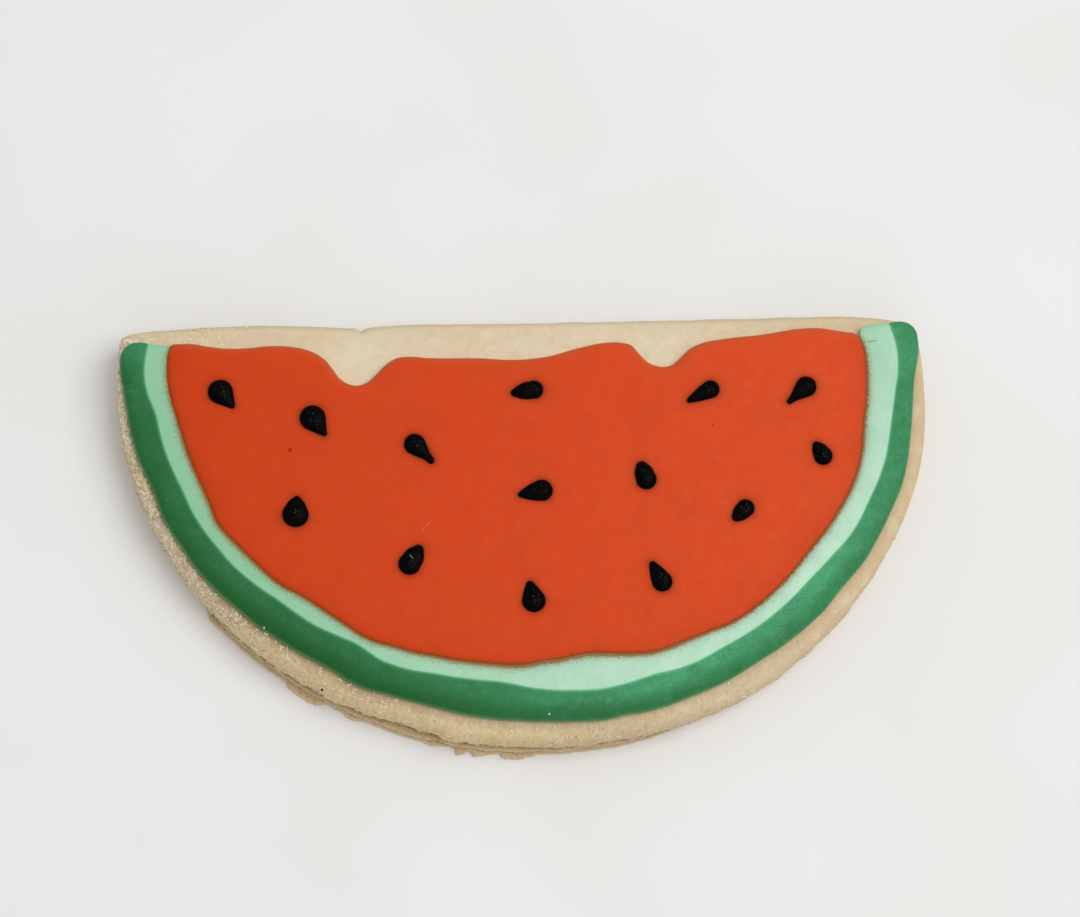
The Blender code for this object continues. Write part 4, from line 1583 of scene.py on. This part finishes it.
# Stray marks: (x, y, height of its middle, length, thickness, heading in degrees).
WHITE_SPECKS: Rows = ((0.61, -23.01, 7.46, 0.2, 0.18, 20), (-33.67, -11.44, 7.3, 0.2, 0.16, 70))
BLACK_SPECKS: Rows = ((-26.79, -18.97, 5.65, 0.3, 0.26, 0),)
RED_SPECKS: Rows = ((-29.85, 10.74, 7.42, 0.32, 0.26, 40), (22.95, 12.9, 7.41, 0.2, 0.14, 20))
FIBRES: Rows = (
    (-15.5, -3.2, 8.24, 0.6, 0.05, -52), (-13.9, 0.3, 7.43, 0.9, 0.045, 62),
    (-13.25, 1.05, 7.43, 0.8, 0.045, 38),
)  # fmt: skip

# How much tint lies along a line's inner edge round the curve: on the dark line the pale icing that shows
# through, on the pale line a brown fringe that is partly red bled in and partly painted shade of the groove.
SEAM_FRAY: Rows = ((172, 1.0), (369, 1.0))
PALE_FRAY: Rows = (
    (172, 0.2), (173.2, 0.5), (179, 0.75), (187, 1.0), (225, 1.15), (250, 1.2), (265, 1.5), (280, 1.6),
    (292, 1.25), (305, 1.0), (320, 0.95), (335, 1.0), (350, 1.05), (362, 1.0), (366, 0.8), (367.4, 0.2),
    (369, 0.1),
)  # fmt: skip
# The pale line's brightness: its lighter, whiter right side is painted light and sheen.
PALE_TONES: Rows = (
    (172, 0.15, 0.1), (180, 0.05, 0.0), (225, 0.1, 0.05), (250, 0.4, 0.35), (275, 0.8, 0.7),
    (300, 1.0, 0.9), (325, 1.0, 0.9), (345, 0.8, 0.75), (362, 0.6, 0.5), (369, 0.5, 0.5),
)  # fmt: skip

# Where the loose stuff lies round the outline: (angle, how thick).
SUGAR_SPREAD: Rows = (
    (172, 0.7), (184, 1.0), (205, 1.0), (216, 0.75), (226, 0.45), (245, 0.22), (262, 0.1), (285, 0.04),
    (318, 0.02), (332, 0.0), (500, 0), (532, 0.4),
)  # fmt: skip
CRUMB_SPREAD: Rows = (
    (172, 1.0), (215, 0.8), (230, 0.4), (260, 0.18), (285, 0.14), (318, 0.1), (332, 0.03), (400, 0.0),
    (515, 0.1), (532, 0.7),
)  # fmt: skip
DUST_SPREAD: Rows = ((172, 1.0), (532, 1.0))

# Deep green icing: nearly even on the left, and paler and grainy on the right, which is partly its own
# lighter green and partly painted light, sheen and sparkle. A pale thread follows both edges: along the inner
# one the pale icing shows through where the icing thins out, and along the outer one the rim is simply paler.
DARK_GREEN = RoyalIcing(
    "dark_green_royal_icing",
    shade="#1C5B26",
    bright="#429C68",
    deep="#1F5A2B",
    speck="#6DB592",
    tints=(Tint("outer_rim", "#86B886", 0.45), Tint("inner_rim", "#7CC79A", 0.75)),
    streak=0.08,
    grain=0.38,
    mottle=0.45,
)
# Minty icing, paler and whiter on the right, which is painted light and sheen. At the red it has a brown
# fringe, partly red that bled into it while both were wet and partly painted shade of the groove there, and a
# short fold is painted as a darker line.
PALE_GREEN = RoyalIcing(
    "pale_green_royal_icing",
    shade="#8DC39D",
    bright="#BFE1C9",
    deep="#86BD98",
    speck="#D3F0DD",
    tints=(
        Tint("outer_rim", "#78C896", 0.5),
        Tint("inner_rim", "#876032", 0.95, 0.11),
        Tint("crease", "#6F9A7C", 0.8),
    ),
    streak=0.1,
)
# Orange-red flood icing, smooth. It is darkened towards the seam by painted shade, and its thin brown line at
# the seam is partly painted shade of the groove. Round the seeds it is browner from painted contact shade and
# some black bled in. Where it rounds down at the wavy top it is painted duller for the reflection on that
# slope, with a painted highlight along its very edge.
RED = RoyalIcing(
    "red_royal_icing",
    shade="#CB3F10",
    bright="#D94B20",
    deep="#C23A10",
    speck="#E07040",
    grain=0.14,
    specular=0.08,
    tints=(
        Tint("seam_shade", "#B0360C", 0.5),
        Tint("seam_rim", "#7C430F", 0.7, 0.2),
        Tint("seed_side", "#7A2C0A", 0.75),
        Tint("top_rim", "#B8603A", 0.45),
        Tint("foot_rim", "#EBC8A2", 0.6),
    ),
)
# Black icing, stiffer than the rest: a little glossier and wrinkled on its crown, with tiny painted glints
# there.
BLACK = RoyalIcing(
    "black_royal_icing",
    shade="#040504",
    bright="#040504",
    deep="#030302",
    speck="#101211",
    flecks=0.65,
    roughness=(0.3, 0.42),
    wrinkle=0.05,
    specular=0.025,
)
# Sugar catches the light, and crumbs and specks do not.
SUGAR = Loose("sugar_crystals", "#EBDFC4", "#DAC8A2", (0.3, 0.5))
CRUMBS = Loose("dough_crumbs", "#D2BD97", "#BCA27A", (0.7, 0.9))
WHITE_SUGAR = Loose("white_sugar", "#FBFAF4", "#F3EFE4", (0.3, 0.5))
BURNT_SUGAR = Loose("burnt_sugar", "#14100C", "#241A12", (0.5, 0.7))
DRIED_COLOUR = Loose("dried_colour", "#9C1208", "#B0200E", (0.5, 0.7))
PALE_FIBRE = Loose("pale_fibre", "#C9A78C", "#B98F74", (0.5, 0.7))


def lines(level: float, crest: float) -> tuple[PipedLine, PipedLine]:
    """The dark and the pale green line.

    Args:
        level: height of the biscuit's top.
        crest: height of the lines' tops.

    Returns:
        Both lines, the outer one first.
    """
    dark = (DARK_EDGE, GREEN_SEAM, DARK_ENDS, DARK_SECTION, DARK_TONES, DARK_GREEN, level, crest)
    pale = (GREEN_SEAM, RED_SEAM, PALE_ENDS, PALE_SECTION, PALE_TONES, PALE_GREEN, level, crest)
    return (
        PipedLine("dark_green_line", Solid.DARK_LINE, *dark, rim=0.11, fray=SEAM_FRAY),
        PipedLine("pale_green_line", Solid.PALE_LINE, *pale, rim=0.42, fray=PALE_FRAY),
    )


def main() -> None:
    """Loads the frame, then makes the biscuit, the icing, the loose grains and the studio in order."""
    logging.basicConfig(level=logging.INFO, format="%(name)s: %(message)s")
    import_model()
    level, crest = Solid.BISCUIT.top(), Solid.DARK_LINE.top()
    flood_top = crest - FLOOD_DROP

    skin, bare = Biscuit(thickness=level).build()
    TornSheet("torn_lower_sheet", LOWER_TEAR, under=0.02, over=0.5, seed=201).build()
    TornSheet("torn_upper_sheet", UPPER_TEAR, under=0.66, over=1.12, seed=221).build()
    for line in lines(level, crest):
        line.build()
    Flood(level, flood_top, RED).build()
    PipedSeeds(flood_top, Solid.FLOOD.top() + SEED_RISE, BLACK).build()
    for scatter in (
        Scatter(Stuff.SUGAR, 2100, (0.2, 0.6), (0.1, 0.19), 0.1, SUGAR_SPREAD, SUGAR, 101),
        Scatter(Stuff.CRUMB, 1200, (0.15, 0.4), (0.12, 0.25), 0.25, CRUMB_SPREAD, CRUMBS, 103),
        Scatter(Stuff.DUST, 500, (0.07, 0.15), (0.06, 0.1), 0.1, DUST_SPREAD, SUGAR, 107),
    ):
        scatter.build(skin, bare)
    for stray in (
        Stray("white_specks", WHITE_SPECKS, WHITE_SUGAR),
        Stray("burnt_specks", BLACK_SPECKS, BURNT_SUGAR),
        Stray("red_specks", RED_SPECKS, DRIED_COLOUR),
        Stray("fibres", FIBRES, PALE_FIBRE),
    ):
        stray.build()
    Studio().build()


if __name__ == "__main__":
    main()
